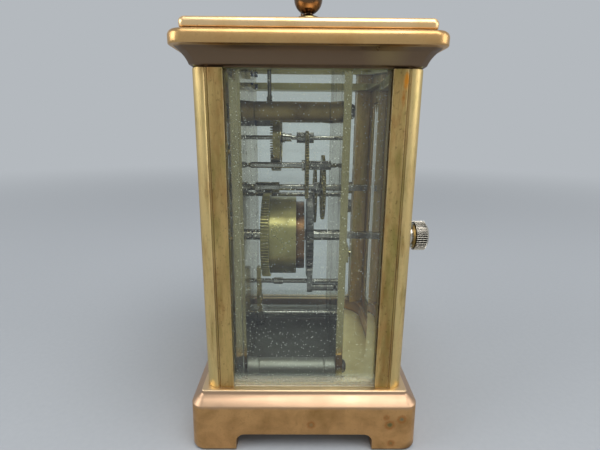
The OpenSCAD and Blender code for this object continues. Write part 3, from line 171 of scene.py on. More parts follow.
def height_mask(material, low, high, ragged=1.5, most=1.0):
    """A mask that rises from 0 at the height low to most at high, in mm, with a ragged edge."""
    tree = material.node_tree
    where = millimetres(tree)
    uneven = add_node(tree, "ShaderNodeTexNoise", {"Scale": 1/3.0, "Detail": 4.0},
                      {"Vector": where})
    height = add_node(tree, "ShaderNodeSeparateXYZ", {}, {0: where})
    shift = add_node(tree, "ShaderNodeMath", {"operation": "MULTIPLY_ADD", 1: ragged},
                     {0: uneven.outputs[0], 2: height.outputs["Z"]})
    half = ragged/2
    return add_node(tree, "ShaderNodeMapRange",
                    {"From Min": low + half, "From Max": high + half, "To Max": most},
                    {"Value": shift.outputs[0]}).outputs[0]


def spot_mask(material, place, inner, outer, most, squash=(1, 1, 1)):
    """A mask round a place, in mm: full within inner, gone beyond outer, with a wavy edge.

    squash below 1 makes the spot that much longer along an axis.
    """
    tree = material.node_tree
    where = millimetres(tree)
    # the edge waves in and out by up to half of this, over the same distance along it
    wave = 0.9
    uneven = add_node(tree, "ShaderNodeTexNoise", {"Scale": 1/wave, "Detail": 4.0},
                      {"Vector": where})
    away = add_node(tree, "ShaderNodeVectorMath", {"operation": "SUBTRACT", 1: place}, {0: where})
    away = add_node(tree, "ShaderNodeVectorMath", {"operation": "MULTIPLY", 1: squash},
                    {0: away.outputs["Vector"]})
    away = add_node(tree, "ShaderNodeVectorMath", {"operation": "LENGTH"},
                    {0: away.outputs["Vector"]})
    wavy = add_node(tree, "ShaderNodeMath", {"operation": "MULTIPLY_ADD", 1: wave},
                    {0: uneven.outputs[0], 2: away.outputs["Value"]})
    return add_node(tree, "ShaderNodeMapRange",
                    {"From Min": outer + wave/2, "From Max": inner + wave/2, "To Max": most},
                    {"Value": wavy.outputs[0]}).outputs[0]


def mottle_mask(material, size, low, high, most, stretch=(1, 1, 1)):
    """A mask of soft blotches of about this size in mm, where a noise runs from low to high.

    stretch below 1 draws the blotches out along an axis.
    """
    tree = material.node_tree
    blotches = add_node(tree, "ShaderNodeTexNoise",
                        {"Scale": 1/size, "Detail": 6.0, "Roughness": 0.65},
                        {"Vector": millimetres(tree, stretch)})
    return add_node(tree, "ShaderNodeMapRange",
                    {"From Min": low, "From Max": high, "To Max": most},
                    {"Value": blotches.outputs[0]}).outputs[0]


def finish_nodes(material, eased, *nodes, moulded=False):
    """Stands in for CAD nodes with smooth copies whose edges are eased by so many mm.

    Where a piece isn't moulded, its broad faces keep a flat shading up to their rims.
    """
    for node in nodes:
        bpy.ops.object.select_all(action="DESELECT")
        piece = bpy.data.objects.new(node + "_finished", frame["nodes"][node].data.copy())
        bpy.context.collection.objects.link(piece)
        bpy.context.view_layer.objects.active = piece
        piece.select_set(True)
        bpy.ops.object.mode_set(mode="EDIT")
        bpy.ops.mesh.select_all(action="SELECT")
        bpy.ops.mesh.remove_doubles(threshold=0.000001)
        bpy.ops.mesh.dissolve_limited(angle_limit=math.radians(0.5))
        bpy.ops.object.mode_set(mode="OBJECT")
        easing = piece.modifiers.new("eased_edges", "BEVEL")
        easing.width = eased/1000
        easing.segments = 2
        easing.limit_method = "ANGLE"
        easing.angle_limit = math.radians(32)
        bpy.ops.object.modifier_apply(modifier=easing.name)
        bpy.ops.object.shade_smooth_by_angle(angle=math.radians(35))
        if not moulded:
            flat = piece.modifiers.new("flat_faces", "WEIGHTED_NORMAL")
            flat.keep_sharp = True
            bpy.ops.object.modifier_apply(modifier=flat.name)
        piece.data.materials.clear()
        piece.data.materials.append(material)
        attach(piece, frame["nodes"][node]["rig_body"])
        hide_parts(node)


# gilt brass gone brown: satin, with soft olive patches of about 9 mm and fine dark flecks
gilt_base = aged_metal("worn_gilt_brass_base", "#cfa069", "#a9814f", "#5a4128", "#f0cda6",
                       patch=9.0, fleck=0.7, rough=0.36, edge=0.5, tarnished=0.5, hollow=1.2,
                       relief=0.06)
# the slope starts above the band, and the flat rim round the pillars lies at its top
slope_foot, slope_full, rim_foot, rim_full = 15.6, 16.9, 20.1, 20.4
# painted light: the slope is painted paler as the sheen of the light from above, and the rim's pale
# colour is a painted highlight
lay_over(gilt_base, "#bd9c7e", height_mask(gilt_base, slope_foot, slope_full, 0.8))
lay_over(gilt_base, "#e6c9a0", height_mask(gilt_base, rim_foot, rim_full, 0.1, 0.9))
# green crusts inside orange rings, on the band by the rear foot and one near the middle
band_x = 44.4
for along, height, size, crust in (
        (27.2, 10.1, 1.3, "#5c6a48"), (31.1, 12.3, 1.1, "#6d7a66"), (0.9, 10.1, 1.0, "#a08a66"),
        (26.0, 13.0, 0.6, "#9b7b58"), (28.0, 3.0, 0.8, "#6a7450")):
    place = (band_x, along, height)
    lay_over(gilt_base, "#a8622f", spot_mask(gilt_base, place, size, size + 0.8, 0.6))
    lay_over(gilt_base, "#a9824f", spot_mask(gilt_base, place, size - 0.35, size + 0.15, 0.85))
    lay_over(gilt_base, crust, spot_mask(gilt_base, place, size - 0.9, size - 0.3, 0.75))
# crumbling brown edge where the rear foot stood in the damp
lay_over(gilt_base, "#5a3c22", spot_mask(gilt_base, (band_x, 34.5, -1.0), 1.5, 4.5, 0.8))
finish_nodes(gilt_base, 0.35, "base_moulding", moulded=True)

# ---------------------------------------------------------------- cornice and raised top
# The cornice is a cast frame with a rounded lip over a hollow neck, and the raised top that
# holds the bevelled light sits on it, painted paler than the cornice for the light from above.
# The lip is a warm tan; the hollow neck under it is painted dark brown as shade.
def from_case_middle(tree):
    """How far a point is from the upright line through the case's middle, in mm on each axis."""
    # the case stands this far nearer the dial than the middle of the clock's whole box
    ahead = (0, 1.375, 0)
    shifted = add_node(tree, "ShaderNodeVectorMath", {"operation": "ADD", 1: ahead},
                       {0: millimetres(tree)})
    away = add_node(tree, "ShaderNodeVectorMath", {"operation": "ABSOLUTE"},
                    {0: shifted.outputs["Vector"]})
    return add_node(tree, "ShaderNodeSeparateXYZ", {}, {0: away.outputs["Vector"]})


# painted light: the raised top is the cornice's gilt painted paler, for the light from above that
# falls on it
painted_lit_gilt_top = aged_metal("worn_gilt_brass_top_painted_lit", "#fbd6a0", "#e6bc80", "#8a6646", "#ffefdc",
                      patch=14.0, fleck=0.6, rough=0.33, edge=0.6, tarnished=0.5, hollow=0.8,
                      relief=0.05, grimy=0.25)
gilt_cornice = aged_metal("worn_gilt_brass_cornice", "#d0a870", "#b68b56", "#5e4228", "#f6d9b6",
                          patch=14.0, fleck=0.6, rough=0.33, edge=0.6, tarnished=0.5, hollow=0.8,
                          relief=0.05, grimy=0.25)
neck_tree = gilt_cornice.node_tree
# the hollow neck ends at this height, and the lip begins
neck_full, neck_end = 127.6, 128.0
not_neck = height_mask(gilt_cornice, neck_full, neck_end, 0.1)
neck = add_node(neck_tree, "ShaderNodeMath", {"operation": "SUBTRACT", 0: 1.0}, {1: not_neck})
# painted shade: the neck is painted dark brown only outside the pillars' line; inside it the frame
# is laid over with an olive gold
pillar_line_x, pillar_line_y = 38.6, 32.3
out_by = from_case_middle(neck_tree)
side_on = add_node(neck_tree, "ShaderNodeMath", {"operation": "GREATER_THAN", 1: pillar_line_x},
                   {0: out_by.outputs["X"]})
end_on = add_node(neck_tree, "ShaderNodeMath", {"operation": "GREATER_THAN", 1: pillar_line_y},
                  {0: out_by.outputs["Y"]})
outside = add_node(neck_tree, "ShaderNodeMath", {"operation": "MAXIMUM"},
                   {0: side_on.outputs[0], 1: end_on.outputs[0]})
neck = add_node(neck_tree, "ShaderNodeMath", {"operation": "MULTIPLY"},
                {0: neck.outputs[0], 1: outside.outputs[0]})
lay_over(gilt_cornice, "#77634f", neck.outputs[0])
inside = add_node(neck_tree, "ShaderNodeMath", {"operation": "SUBTRACT", 0: 1.0},
                  {1: outside.outputs[0]})
lay_over(gilt_cornice, "#b9b07a", inside.outputs[0])
# an olive patch on the neck, near the rear
olive = add_node(neck_tree, "ShaderNodeMath", {"operation": "MULTIPLY"},
                 {0: neck.outputs[0],
                  1: spot_mask(gilt_cornice, (42.0, 20.0, 126.3), 1.0, 7.0, 0.7)})
lay_over(gilt_cornice, "#94805a", olive.outputs[0])
finish_nodes(gilt_cornice, 0.35, "cornice", moulded=True)
finish_nodes(painted_lit_gilt_top, 0.25, "top_plate")

# ---------------------------------------------------------------- handle
# The handle is a bent brass rod on two turned posts. The posts' balls have gone a deep
# copper brown from hands, while the washers under them stayed olive.
handle_brass = aged_metal("handled_copper_brown_brass", "#74593f", "#543e2c", "#241810", "#c9ac8c",
                          patch=5.0, fleck=0.5, rough=0.24, edge=0.3, tarnished=0.55, hollow=1.0)
washer_top, ball_foot = 137.0, 137.6
washer = add_node(handle_brass.node_tree, "ShaderNodeMath", {"operation": "SUBTRACT", 0: 1.0},
                  {1: height_mask(handle_brass, washer_top, ball_foot, 0.2)})
lay_over(handle_brass, "#a89a66", washer.outputs[0])
finish_nodes(handle_brass, 0.15, "handle_posts")
finish_nodes(handle_brass, 0.3, "handle_bail")

# ---------------------------------------------------------------- pillars and door frame
# Four square pillars of drawn brass stand between base and cornice, each with fine hollow
# beads. Their lacquer has gone olive, in upright streaks, with reddish dirt in flecks and a reddish
# brown painted shade in the beads, and a painted highlight on the outer half of each side.
olive_pillar = aged_metal("olive_lacquered_brass", "#cdae70", "#967a4a", "#4e2a16", "#fdecc4",
                          patch=3.5, fleck=0.45, rough=0.4, stretch=(1, 1, 0.12), edge=0.35,
                          tarnished=0.5, hollow=1.3, relief=0.16, grimy=0.5)
lay_over(olive_pillar, "#a4703c", mottle_mask(olive_pillar, 6.0, 0.5, 0.72, 0.7, (1, 1, 0.4)))
lay_over(olive_pillar, "#8a8446", mottle_mask(olive_pillar, 7.5, 0.48, 0.68, 0.7, (1.2, 1.2, 0.3)))
lay_over(olive_pillar, "#3f2c18", mottle_mask(olive_pillar, 0.9, 0.58, 0.72, 0.65, (1, 1, 0.7)))
# painted highlight: the outer half of each pillar's side is painted brighter, out to its corner
bead_y, bead_end_y = 28.4, 29.4
corner_x, corner_full_x = 36.0, 37.8
pillar_tree = olive_pillar.node_tree
out_by = from_case_middle(pillar_tree)
side_highlight = add_node(pillar_tree, "ShaderNodeMapRange",
                   {"From Min": bead_y, "From Max": bead_end_y, "To Max": 0.55},
                   {"Value": out_by.outputs["Y"]})
side_on = add_node(pillar_tree, "ShaderNodeMapRange",
                   {"From Min": corner_x, "From Max": corner_full_x},
                   {"Value": out_by.outputs["X"]})
side_highlight = add_node(pillar_tree, "ShaderNodeMath", {"operation": "MULTIPLY"},
                   {0: side_highlight.outputs[0], 1: side_on.outputs[0]})
side_highlight = add_node(pillar_tree, "ShaderNodeMath", {"operation": "MULTIPLY"},
                   {0: side_highlight.outputs[0],
                    1: mottle_mask(olive_pillar, 3.0, 0.3, 0.5, 1.0, (1, 1, 0.2))})
lay_over(olive_pillar, "#f2d898", side_highlight.outputs[0])
# lacquer rubbed through to orange at the top of one pillar
lay_over(olive_pillar, "#e0902c",
         spot_mask(olive_pillar, (39.4, 26.3, 119.6), 0.35, 0.95, 0.9, (1, 1, 0.3)))
lay_over(olive_pillar, "#b9752f",
         spot_mask(olive_pillar, (39.4, 25.8, 115.0), 0.1, 0.8, 0.7, (1, 1, 0.22)))
finish_nodes(olive_pillar, 0.22, "pillar_front_left", "pillar_front_right", "pillar_rear_left",
             "pillar_rear_right", "door_frame")
finish_nodes(olive_pillar, 0.08, "hinge_pins", "door_latch")

# ---------------------------------------------------------------- glasses
# Thick bevelled plate glasses sit in grooves in the pillars, base and cornice. The glass is
# clear with a faint green cast, with dust in specks on its faces and settled at its foot.
# painted sheen: a pale film of this strength is painted over the bevels, so that they show as pale
# lines
bevel_wide, bevel_blend, bevel_sheen = 5.0, 0.3, 0.02
# the settled dust thins out between these two heights above the foot of a plate
dust_top, dust_full = 5.5, 3.5


def plate_glass(name, tint, node):
    """Clear glass with a faint cast, dust in specks of about 0.25 mm, and a pale film painted on
    its bevels as their sheen.
    """
    material, tree, output = new_material(name)
    where = millimetres(tree)
    specks = add_node(tree, "ShaderNodeTexVoronoi", {"Scale": 1/1.15, "Randomness": 1.0},
                      {"Vector": where})
    dots = add_node(tree, "ShaderNodeMapRange", {"From Min": 0.13, "From Max": 0.09},
                    {"Value": specks.outputs["Distance"]})
    # how far in from the plate's rim a point lies, over the two axes across the plate
    low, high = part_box(node)
    thinnest = min(range(3), key=lambda axis: high[axis] - low[axis])
    middle = [500*(low[axis] + high[axis]) for axis in range(3)]
    reach = [1000 if axis == thinnest else 500*(high[axis] - low[axis]) for axis in range(3)]
    offset = add_node(tree, "ShaderNodeVectorMath", {"operation": "SUBTRACT", 1: middle},
                      {0: where})
    offset = add_node(tree, "ShaderNodeVectorMath", {"operation": "ABSOLUTE"},
                      {0: offset.outputs["Vector"]})
    offset = add_node(tree, "ShaderNodeVectorMath", {"operation": "SUBTRACT", 1: reach},
                      {0: offset.outputs["Vector"]})
    offset = add_node(tree, "ShaderNodeSeparateXYZ", {}, {0: offset.outputs["Vector"]})
    rim = add_node(tree, "ShaderNodeMath", {"operation": "MAXIMUM"},
                   {0: offset.outputs["X"], 1: offset.outputs["Y"]})
    rim = add_node(tree, "ShaderNodeMath", {"operation": "MAXIMUM"},
                   {0: rim.outputs[0], 1: offset.outputs["Z"]})
    # painted sheen on the bevels, within this distance of the plate's rim
    bevel_sheen_mask = add_node(tree, "ShaderNodeMapRange",
                        {"From Min": -bevel_wide, "From Max": -bevel_wide + bevel_blend,
                         "To Max": bevel_sheen},
                        {"Value": rim.outputs[0]})
    clouds = add_node(tree, "ShaderNodeTexNoise", {"Scale": 1/14.0, "Detail": 4.0},
                      {"Vector": where})
    film_and_sheen = add_node(tree, "ShaderNodeMapRange",
                    {"From Min": 0.45, "From Max": 0.85, "To Min": 0.0, "To Max": 0.006},
                    {"Value": clouds.outputs[0]})
    speck_here = add_node(tree, "ShaderNodeMath", {"operation": "MULTIPLY", 1: 0.9},
                          {0: dots.outputs[0]})
    film_and_sheen = add_node(tree, "ShaderNodeMath", {"operation": "ADD"},
                    {0: film_and_sheen.outputs[0], 1: bevel_sheen_mask.outputs[0]})
    # grey dust has settled along the foot of each upright plate, in grains of about 0.3 mm
    height = add_node(tree, "ShaderNodeSeparateXYZ", {}, {0: where})
    foot = 1000*low[2] if thinnest != 2 else 0.0
    settled = add_node(tree, "ShaderNodeMapRange",
                       {"From Min": foot + dust_top, "From Max": foot + dust_full},
                       {"Value": height.outputs["Z"]})
    grains = add_node(tree, "ShaderNodeTexNoise", {"Scale": 1/0.3, "Detail": 2.0},
                      {"Vector": where})
    grainy = add_node(tree, "ShaderNodeMapRange",
                      {"From Min": 0.4, "From Max": 0.7, "To Max": 0.55},
                      {"Value": grains.outputs[0]})
    settled = add_node(tree, "ShaderNodeMath", {"operation": "MULTIPLY"},
                       {0: settled.outputs[0], 1: grainy.outputs[0]})
    film_and_sheen = add_node(tree, "ShaderNodeMath", {"operation": "ADD"},
                    {0: film_and_sheen.outputs[0], 1: settled.outputs[0]})
    dust_and_sheen = add_node(tree, "ShaderNodeMath", {"operation": "ADD", "use_clamp": True},
                    {0: speck_here.outputs[0], 1: film_and_sheen.outputs[0]})
    glass = add_node(tree, "ShaderNodeBsdfPrincipled",
                     {"Base Color": linear(tint), "Roughness": 0.0, "IOR": 1.52,
                      "Transmission Weight": 1.0, "Specular IOR Level": 0.3})
    dusty = add_node(tree, "ShaderNodeBsdfPrincipled",
                     {"Base Color": linear("#dfe6d6"), "Roughness": 0.9})
    clear = add_node(tree, "ShaderNodeMixShader", {},
                     {0: dust_and_sheen.outputs[0], 1: glass.outputs[0], 2: dusty.outputs[0]})
    # light reaches the movement through the glass instead of stopping at it
    light_path = add_node(tree, "ShaderNodeLightPath")
    passing = add_node(tree, "ShaderNodeBsdfTransparent", {"Color": linear("#eef3ee")})
    shaded = add_node(tree, "ShaderNodeMixShader", {},
                      {0: light_path.outputs["Is Shadow Ray"],
                       1: clear.outputs[0], 2: passing.outputs[0]})
    tree.links.new(shaded.outputs[0], output.inputs["Surface"])
    return material


for node in ("top_glass", "front_glass", "side_glass_left", "side_glass_right", "door_glass"):
    frame["nodes"][node].data.materials.clear()
    frame["nodes"][node].data.materials.append(plate_glass("bevelled_" + node, "#f3f8f3", node))

# ---------------------------------------------------------------- door knob
# The knob that turns the latch is nickel-plated, with a straight knurl round its rim.
# The knurl's furrows are painted near black as shade, and its crests are painted bright as a
# highlight.
knob_nickel = aged_metal("rubbed_nickel_plate", "#d2ccbf", "#a89f8e", "#1c1712", "#faf8f0",
                         patch=2.5, fleck=0.3, rough=0.22, edge=0.1, tarnished=0.4, hollow=0.4)
knob_tree = knob_nickel.node_tree
# radii in mm: the furrows run from the flat face out to the crests, which carry the shine
knob_axis = (27.15, 0, 71.2)
furrow_in, furrow_full, crest_in, crest_full = 4.35, 4.42, 4.66, 4.86
flat_place = add_node(knob_tree, "ShaderNodeVectorMath", {"operation": "MULTIPLY", 1: (1, 0, 1)},
                      {0: millimetres(knob_tree)})
from_axis = add_node(knob_tree, "ShaderNodeVectorMath", {"operation": "DISTANCE", 1: knob_axis},
                     {0: flat_place.outputs["Vector"]})
rim = add_node(knob_tree, "ShaderNodeMapRange", {"From Min": furrow_in, "From Max": furrow_full},
               {"Value": from_axis.outputs["Value"]})
crest_highlight = add_node(knob_tree, "ShaderNodeMapRange", {"From Min": crest_in, "From Max": crest_full},
                 {"Value": from_axis.outputs["Value"]})
furrow_shade = add_node(knob_tree, "ShaderNodeMath", {"operation": "SUBTRACT", "use_clamp": True},
                  {0: rim.outputs[0], 1: crest_highlight.outputs[0]})
# painted shade in the furrows and a painted highlight on the crests
lay_over(knob_nickel, "#1c1814", furrow_shade.outputs[0])
lay_over(knob_nickel, "#e6dece", crest_highlight.outputs[0])
finish_nodes(knob_nickel, 0.05, "door_knob")

# ---------------------------------------------------------------- movement plates and pillars
# Two rolled brass plates carry the train, polished inside so that they mirror the wheels,
# and held apart by four turned pillars with ring grooves. All have dulled to an olive grey.
plate_brass = aged_metal("polished_plate_brass", "#ab9f72", "#7f754e", "#3c3620", "#d8cc9c",
                         patch=6.0, fleck=0.5, rough=0.13, stretch=(1, 1, 0.15), edge=0.15,
                         tarnished=0.45, hollow=0.9, relief=0.02)
finish_nodes(plate_brass, 0.12, "front_plate", "back_plate", "barrel_cock", "platform",
             "platform_cocks")
turned_pillar = aged_metal("turned_pillar_brass", "#98824f", "#7c643c", "#453c2a", "#b4aa84",
                           patch=7.0, fleck=0.5, rough=0.52, edge=0.15, tarnished=0.5, hollow=0.6,
                           relief=0.01, grimy=0.15)
# the lower pair of pillars is greyer than the upper pair
lower_pair_end, upper_pair_start = 60.0, 70.0
upper = height_mask(turned_pillar, lower_pair_end, upper_pair_start)
lower = add_node(turned_pillar.node_tree, "ShaderNodeMath", {"operation": "SUBTRACT", 0: 1.0},
                 {1: upper})
lay_over(turned_pillar, "#a09f96", lower.outputs[0])
finish_nodes(turned_pillar, 0.1, "movement_pillars")
floor_brass = aged_metal("rolled_floor_brass", "#fff2bc", "#eddb9c", "#a08f62", "#fff8dc",
                         patch=8.0, fleck=0.6, rough=0.42, edge=0.2, tarnished=0.45, hollow=0.5,
                         grimy=0.2)
# painted shade: under the movement, between its plates, the floor is painted nearly black
unshaded_from, shaded_from, shade_most = 12.6, 10.4, 0.93
floor_tree = floor_brass.node_tree
floor_place = add_node(floor_tree, "ShaderNodeSeparateXYZ", {}, {0: millimetres(floor_tree)})
painted_shade_under_movement = add_node(floor_tree, "ShaderNodeMapRange",
                 {"From Min": unshaded_from, "From Max": shaded_from, "To Max": shade_most},
                 {"Value": floor_place.outputs["Y"]})
lay_over(floor_brass, "#34373a", painted_shade_under_movement.outputs[0])
# a dull skin of lacquer makes the floor a little less mirror-like than bare brass
floor_shader = next(n for n in floor_tree.nodes if n.type == "BSDF_PRINCIPLED")
floor_shader.inputs["Metallic"].default_value = 0.6
finish_nodes(floor_brass, 0.1, "floor_plate")

# ---------------------------------------------------------------- wheels and barrel
# The wheels are cut from sheet brass and crossed out; the barrel is turned from the bar,
# with a browned cap. All are satin from polishing with stone, now a greyed olive gold.
wheel_brass = aged_metal("crossed_out_wheel_brass", "#9b8e60", "#675d3a", "#2b2310", "#d6c894",
                         patch=3.0, fleck=0.3, rough=0.28, edge=0.08, tarnished=0.5, hollow=0.5)
finish_nodes(wheel_brass, 0.04, "minute_wheel", "hour_wheel", "centre_wheel", "intermediate_wheel",
             "third_wheel", "contrate_wheel", "escape_wheel", "balance_wheel", "lifting_arm")
drum_brass = aged_metal("turned_barrel_brass", "#a59b66", "#8b8153", "#4a4429", "#dcd3a0",
                        patch=9.0, fleck=0.5, rough=0.3, stretch=(1, 1.5, 1), edge=0.12,
                        tarnished=0.45, hollow=0.5, relief=0.02, grimy=0.25)
finish_nodes(drum_brass, 0.06, "barrel")
cap_brass = aged_metal("browned_cap_brass", "#8a6540", "#5d4027", "#24170d", "#a88258",
                       patch=4.0, fleck=0.4, rough=0.36, edge=0.12, tarnished=0.5)
finish_nodes(cap_brass, 0.08, "barrel_cap")

# ---------------------------------------------------------------- arbors and steelwork
# Arbors and pinions are hardened steel, turned and burnished; screws and click are duller.
# The grime's brown is laid round the shoulders as painted shade.
arbor_steel = aged_metal("burnished_arbor_steel", "#a9a69e", "#716d65", "#332d26", "#efeeea",
                         patch=2.5, fleck=0.25, rough=0.17, stretch=(1, 3, 1), edge=0.06,
                         tarnished=0.35, hollow=0.5)
finish_nodes(arbor_steel, 0.04, "centre_arbor", "barrel_arbor", "intermediate_arbor", "third_arbor",
             "contrate_arbor", "escape_arbor", "pallet_lever", "balance_staff", "lifting_arbor",
             "cross_arbor", "cannon_pinion")
screw_steel = aged_metal("dull_screw_steel", "#7d7b76", "#56534e", "#26221d", "#a5a39d",
                         patch=2.0, fleck=0.3, rough=0.34, edge=0.1, tarnished=0.5)
finish_nodes(screw_steel, 0.06, "case_screws", "plate_screws", "ratchet_wheel", "click",
             "mainspring", "potence")
blued_steel = aged_metal("heat_blued_steel", "#2b4684", "#1c2c58", "#10131f", "#5f6d92",
                         patch=2.0, fleck=0.2, rough=0.2, edge=0.05, tarnished=0.4)
finish_nodes(blued_steel, 0.04, "hour_hand", "minute_hand", "platform_screws", "hairspring",
             "regulator")

# ---------------------------------------------------------------- dial
# The dial is white enamel fired on copper, held by four feet in a matt gilt mask. Upright
# numerals and a minute track are fired into it in black, a few hundredths of a mm proud.
def fired_enamel(name, colour, shade, rough):
    """Glassy enamel with a faint waviness of about 3 mm."""
    material, tree, output = new_material(name)
    waves = add_node(tree, "ShaderNodeTexNoise", {"Scale": 1/3.0, "Detail": 3.0},
                     {"Vector": millimetres(tree)})
    tone = add_node(tree, "ShaderNodeMix",
                    {"data_type": "RGBA", "A": linear(colour), "B": linear(shade)},
                    {"Factor": waves.outputs[0]})
    bump = add_node(tree, "ShaderNodeBump", {"Strength": 0.08, "Distance": 0.00005},
                    {"Height": waves.outputs[0]})
    shader = add_node(tree, "ShaderNodeBsdfPrincipled", {"Roughness": rough, "Coat Weight": 0.5},
                      {"Base Color": tone.outputs["Result"], "Normal": bump.outputs[0]})
    tree.links.new(shader.outputs[0], output.inputs["Surface"])
    return material


finish_nodes(fired_enamel("white_fired_enamel", "#f2efe6", "#e6e1d3", 0.12), 0.2, "dial")
finish_nodes(aged_metal("matt_gilt_mask", "#d9bd7c", "#b3935a", "#5a4425", "#ecd59c",
                        patch=6.0, fleck=0.25, rough=0.45, edge=0.15, tarnished=0.4, relief=0.1),
             0.15, "dial_mask")

dial_low, dial_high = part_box("dial")
dial_face = dial_low[1]
dial_middle = ((dial_low[0] + dial_high[0])/2, (dial_low[2] + dial_high[2])/2)
# metres: how proud the paint stands, and where the numerals' middles and the track's rings run
paint = 0.00003
numeral_ring, track_rings = 0.0186, (0.0225, 0.0237)
# metres: half the length of a serif, and the widths of the track's lines
serif, ring_line, minute_mark, hour_mark = 0.0006, 0.00012, 0.00016, 0.00042
strokes = []


def stroke(start, end, width):
    """One painted bar from start to end, in metres on the flat of the dial."""
    run, rise = end[0] - start[0], end[1] - start[1]
    middle = ((start[0] + end[0])/2, (start[1] + end[1])/2, 0)
    bpy.ops.mesh.primitive_plane_add(size=1, location=middle,
                                     rotation=(0, 0, math.atan2(rise, run)))
    bar = bpy.context.object
    bar.scale = (math.hypot(run, rise), width, 1)
    strokes.append(bar)


# each letter: its width, then its bars from edge to edge; thick downstrokes, thin upstrokes
tall, thick, thin = 0.0058, 0.00066, 0.00022
letters = {
    "I": (0.0012, (((0, -1), (0, 1), thick),)),
    "V": (0.0030, (((-0.0010, 1), (0, -1), thick), ((0.0010, 1), (0, -1), thin))),
    "X": (0.0031, (((-0.0010, 1), (0.0010, -1), thick), ((0.0010, 1), (-0.0010, -1), thin)))}
hours = ("XII", "I", "II", "III", "IIII", "V", "VI", "VII", "VIII", "IX", "X", "XI")
bpy.ops.object.select_all(action="DESELECT")
for hour, numeral in enumerate(hours):
    turn = Matrix.Rotation(-math.radians(30*hour), 2)
    across = -sum(letters[letter][0] for letter in numeral)/2
    for letter in numeral:
        width, bars = letters[letter]
        across += width/2
        for start, end, weight in bars:
            ends = [(across + x, numeral_ring + y*tall/2) for x, y in (start, end)]
            stroke(turn @ Vector(ends[0]), turn @ Vector(ends[1]), weight)
            # a fine serif across each end of the bar
            for x, y in ends:
                stroke(turn @ Vector((x - serif, y)), turn @ Vector((x + serif, y)), thin)
        across += width/2
for minute in range(60):
    turn = Matrix.Rotation(-math.radians(6*minute), 2)
    weight = hour_mark if minute % 5 == 0 else minute_mark
    stroke(turn @ Vector((0, track_rings[0])), turn @ Vector((0, track_rings[1])), weight)
for radius in track_rings:
    bpy.ops.mesh.primitive_circle_add(vertices=180, radius=radius + ring_line/2, fill_type="NGON")
    bpy.ops.object.mode_set(mode="EDIT")
    bpy.ops.mesh.select_all(action="SELECT")
    bpy.ops.mesh.inset(thickness=ring_line)
    bpy.ops.mesh.delete(type="FACE")
    bpy.ops.object.mode_set(mode="OBJECT")
    strokes.append(bpy.context.object)
bpy.ops.object.select_all(action="DESELECT")
for bar in strokes:
    bar.select_set(True)
bpy.context.view_layer.objects.active = strokes[-1]
bpy.ops.object.join()
numerals = bpy.context.object
numerals.name = "dial_numerals"
bpy.ops.object.transform_apply(location=True, rotation=True, scale=True)
bpy.ops.object.mode_set(mode="EDIT")
bpy.ops.mesh.select_all(action="SELECT")
bpy.ops.mesh.extrude_region_move(TRANSFORM_OT_translate={"value": (0, 0, paint)})
bpy.ops.mesh.select_all(action="SELECT")
bpy.ops.mesh.normals_make_consistent(inside=False)
bpy.ops.object.mode_set(mode="OBJECT")
numerals.rotation_euler = (math.radians(90), 0, 0)
numerals.location = (dial_middle[0], dial_face, dial_middle[1])
bpy.ops.object.transform_apply(location=True, rotation=True, scale=True)
numerals.data.materials.append(fired_enamel("black_fired_enamel", "#17161a", "#232228", 0.2))
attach(numerals, "root")

# ---------------------------------------------------------------- floor, light and camera
# A plain pale floor fades into the backdrop, under soft light from three large lamps and an
# even sky. The backdrop's colour shows only to rays that end in the picture.
def seen_by_eye(tree):
    """1 where a ray comes from the camera, or from it by way of a mirror or a glass."""
    path = add_node(tree, "ShaderNodeLightPath")
    seen = add_node(tree, "ShaderNodeMath", {"operation": "MAXIMUM"},
                    {0: path.outputs["Is Camera Ray"], 1: path.outputs["Is Glossy Ray"]})
    return add_node(tree, "ShaderNodeMath", {"operation": "MAXIMUM"},
                    {0: seen.outputs[0], 1: path.outputs["Is Transmission Ray"]}).outputs[0]


backdrop_colour = "#b4b9be"
bpy.ops.object.select_all(action="DESELECT")
bpy.ops.mesh.primitive_circle_add(vertices=96, radius=6.0, fill_type="NGON", location=(0, 0, 0))
floor = bpy.context.object
floor.name = "floor"
material, tree, output = new_material("pale_floor")
where = millimetres(tree)
paper = add_node(tree, "ShaderNodeTexNoise", {"Scale": 1/2.0, "Detail": 4.0}, {"Vector": where})
tone = add_node(tree, "ShaderNodeMix",
                {"data_type": "RGBA", "A": linear("#a0a4a9"), "B": linear("#a7abaf")},
                {"Factor": paper.outputs[0]})
shader = add_node(tree, "ShaderNodeBsdfPrincipled", {"Roughness": 0.9},
                  {"Base Color": tone.outputs["Result"]})
far_off = add_node(tree, "ShaderNodeVectorMath", {"operation": "LENGTH"}, {0: where})
fade_start, fade_end = 220.0, 1100.0
fade = add_node(tree, "ShaderNodeMapRange",
                {"interpolation_type": "SMOOTHSTEP", "From Min": fade_start, "From Max": fade_end},
                {"Value": far_off.outputs["Value"]})
faded = add_node(tree, "ShaderNodeMath", {"operation": "MULTIPLY"},
                 {0: seen_by_eye(tree), 1: fade.outputs[0]})
haze = add_node(tree, "ShaderNodeEmission", {"Color": linear(backdrop_colour), "Strength": 1.0})
shown = add_node(tree, "ShaderNodeMixShader", {},
                 {0: faded.outputs[0], 1: shader.outputs[0], 2: haze.outputs[0]})
tree.links.new(shown.outputs[0], output.inputs["Surface"])
floor.data.materials.append(material)

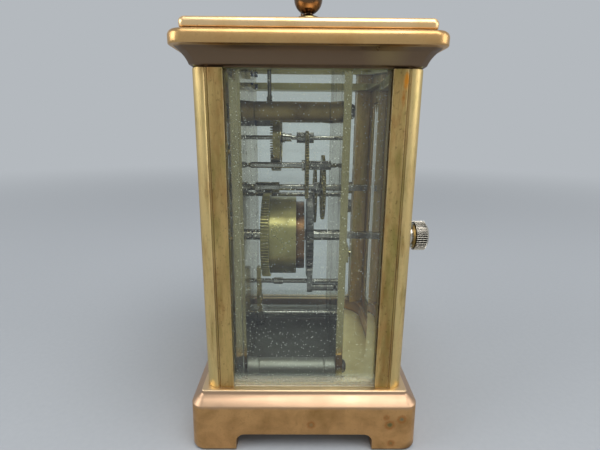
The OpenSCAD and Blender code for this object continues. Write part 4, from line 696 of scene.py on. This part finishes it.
world = bpy.data.worlds.new("studio")
bpy.context.scene.world = world
world.use_nodes = True
tree = world.node_tree
tree.nodes.clear()
lighting = add_node(tree, "ShaderNodeBackground", {"Color": linear("#e8ecf0"), "Strength": 0.5})
backdrop = add_node(tree, "ShaderNodeBackground",
                    {"Color": linear(backdrop_colour), "Strength": 1.0})
sky = add_node(tree, "ShaderNodeMixShader", {},
               {0: seen_by_eye(tree), 1: lighting.outputs[0], 2: backdrop.outputs[0]})
add_node(tree, "ShaderNodeOutputWorld", {}, {"Surface": sky.outputs[0]})


def soft_lamp(name, place, size, watts):
    """A square soft lamp aimed at the middle of the clock."""
    lamp = bpy.data.lights.new(name, "AREA")
    lamp.size = size
    lamp.energy = watts
    holder = bpy.data.objects.new(name, lamp)
    bpy.context.collection.objects.link(holder)
    aim = Vector((0, 0, 0.07)) - Vector(place)
    turned = aim.to_track_quat("-Z", "Y").to_matrix().to_4x4()
    holder.matrix_world = Matrix.Translation(place) @ turned


soft_lamp("lamp_above", (0.38, 0.16, 0.95), 0.7, 7.0)
soft_lamp("lamp_dial_side", (0.25, -0.9, 0.55), 0.6, 4.0)
soft_lamp("lamp_door_side", (0.3, 0.9, 0.45), 0.6, 3.0)

# the camera stands close to the right side, a little above the middle, looking down 14 degrees;
# its focal length is in pixels of a picture 600 pixels wide, and its sensor's width in mm
focal_pixels, picture_pixels, sensor = 396.4, 600, 36
pitch, roll, yaw = math.radians(13.81), math.radians(0.47), math.radians(-0.46)
forward = Vector((-math.cos(yaw)*math.cos(pitch), -math.sin(yaw)*math.cos(pitch), -math.sin(pitch)))
level = Vector((-math.sin(yaw), math.cos(yaw), 0))
upward = level.cross(forward)
if upward.z < 0:
    upward = -upward
right = math.cos(roll)*level + math.sin(roll)*upward
above = -math.sin(roll)*level + math.cos(roll)*upward
camera = bpy.data.cameras.new("photo_camera")
camera.lens = focal_pixels*sensor/picture_pixels
camera.sensor_fit = "HORIZONTAL"
camera.sensor_width = sensor
camera.clip_start = 0.005
holder = bpy.data.objects.new("photo_camera", camera)
bpy.context.collection.objects.link(holder)
eye = Vector((0.1569, -0.00427, 0.1065))
holder.matrix_world = Matrix((
    (right.x, above.x, -forward.x, eye.x),
    (right.y, above.y, -forward.y, eye.y),
    (right.z, above.z, -forward.z, eye.z),
    (0, 0, 0, 1)))
bpy.context.scene.camera = holder
bpy.context.scene.view_settings.view_transform = "Standard"
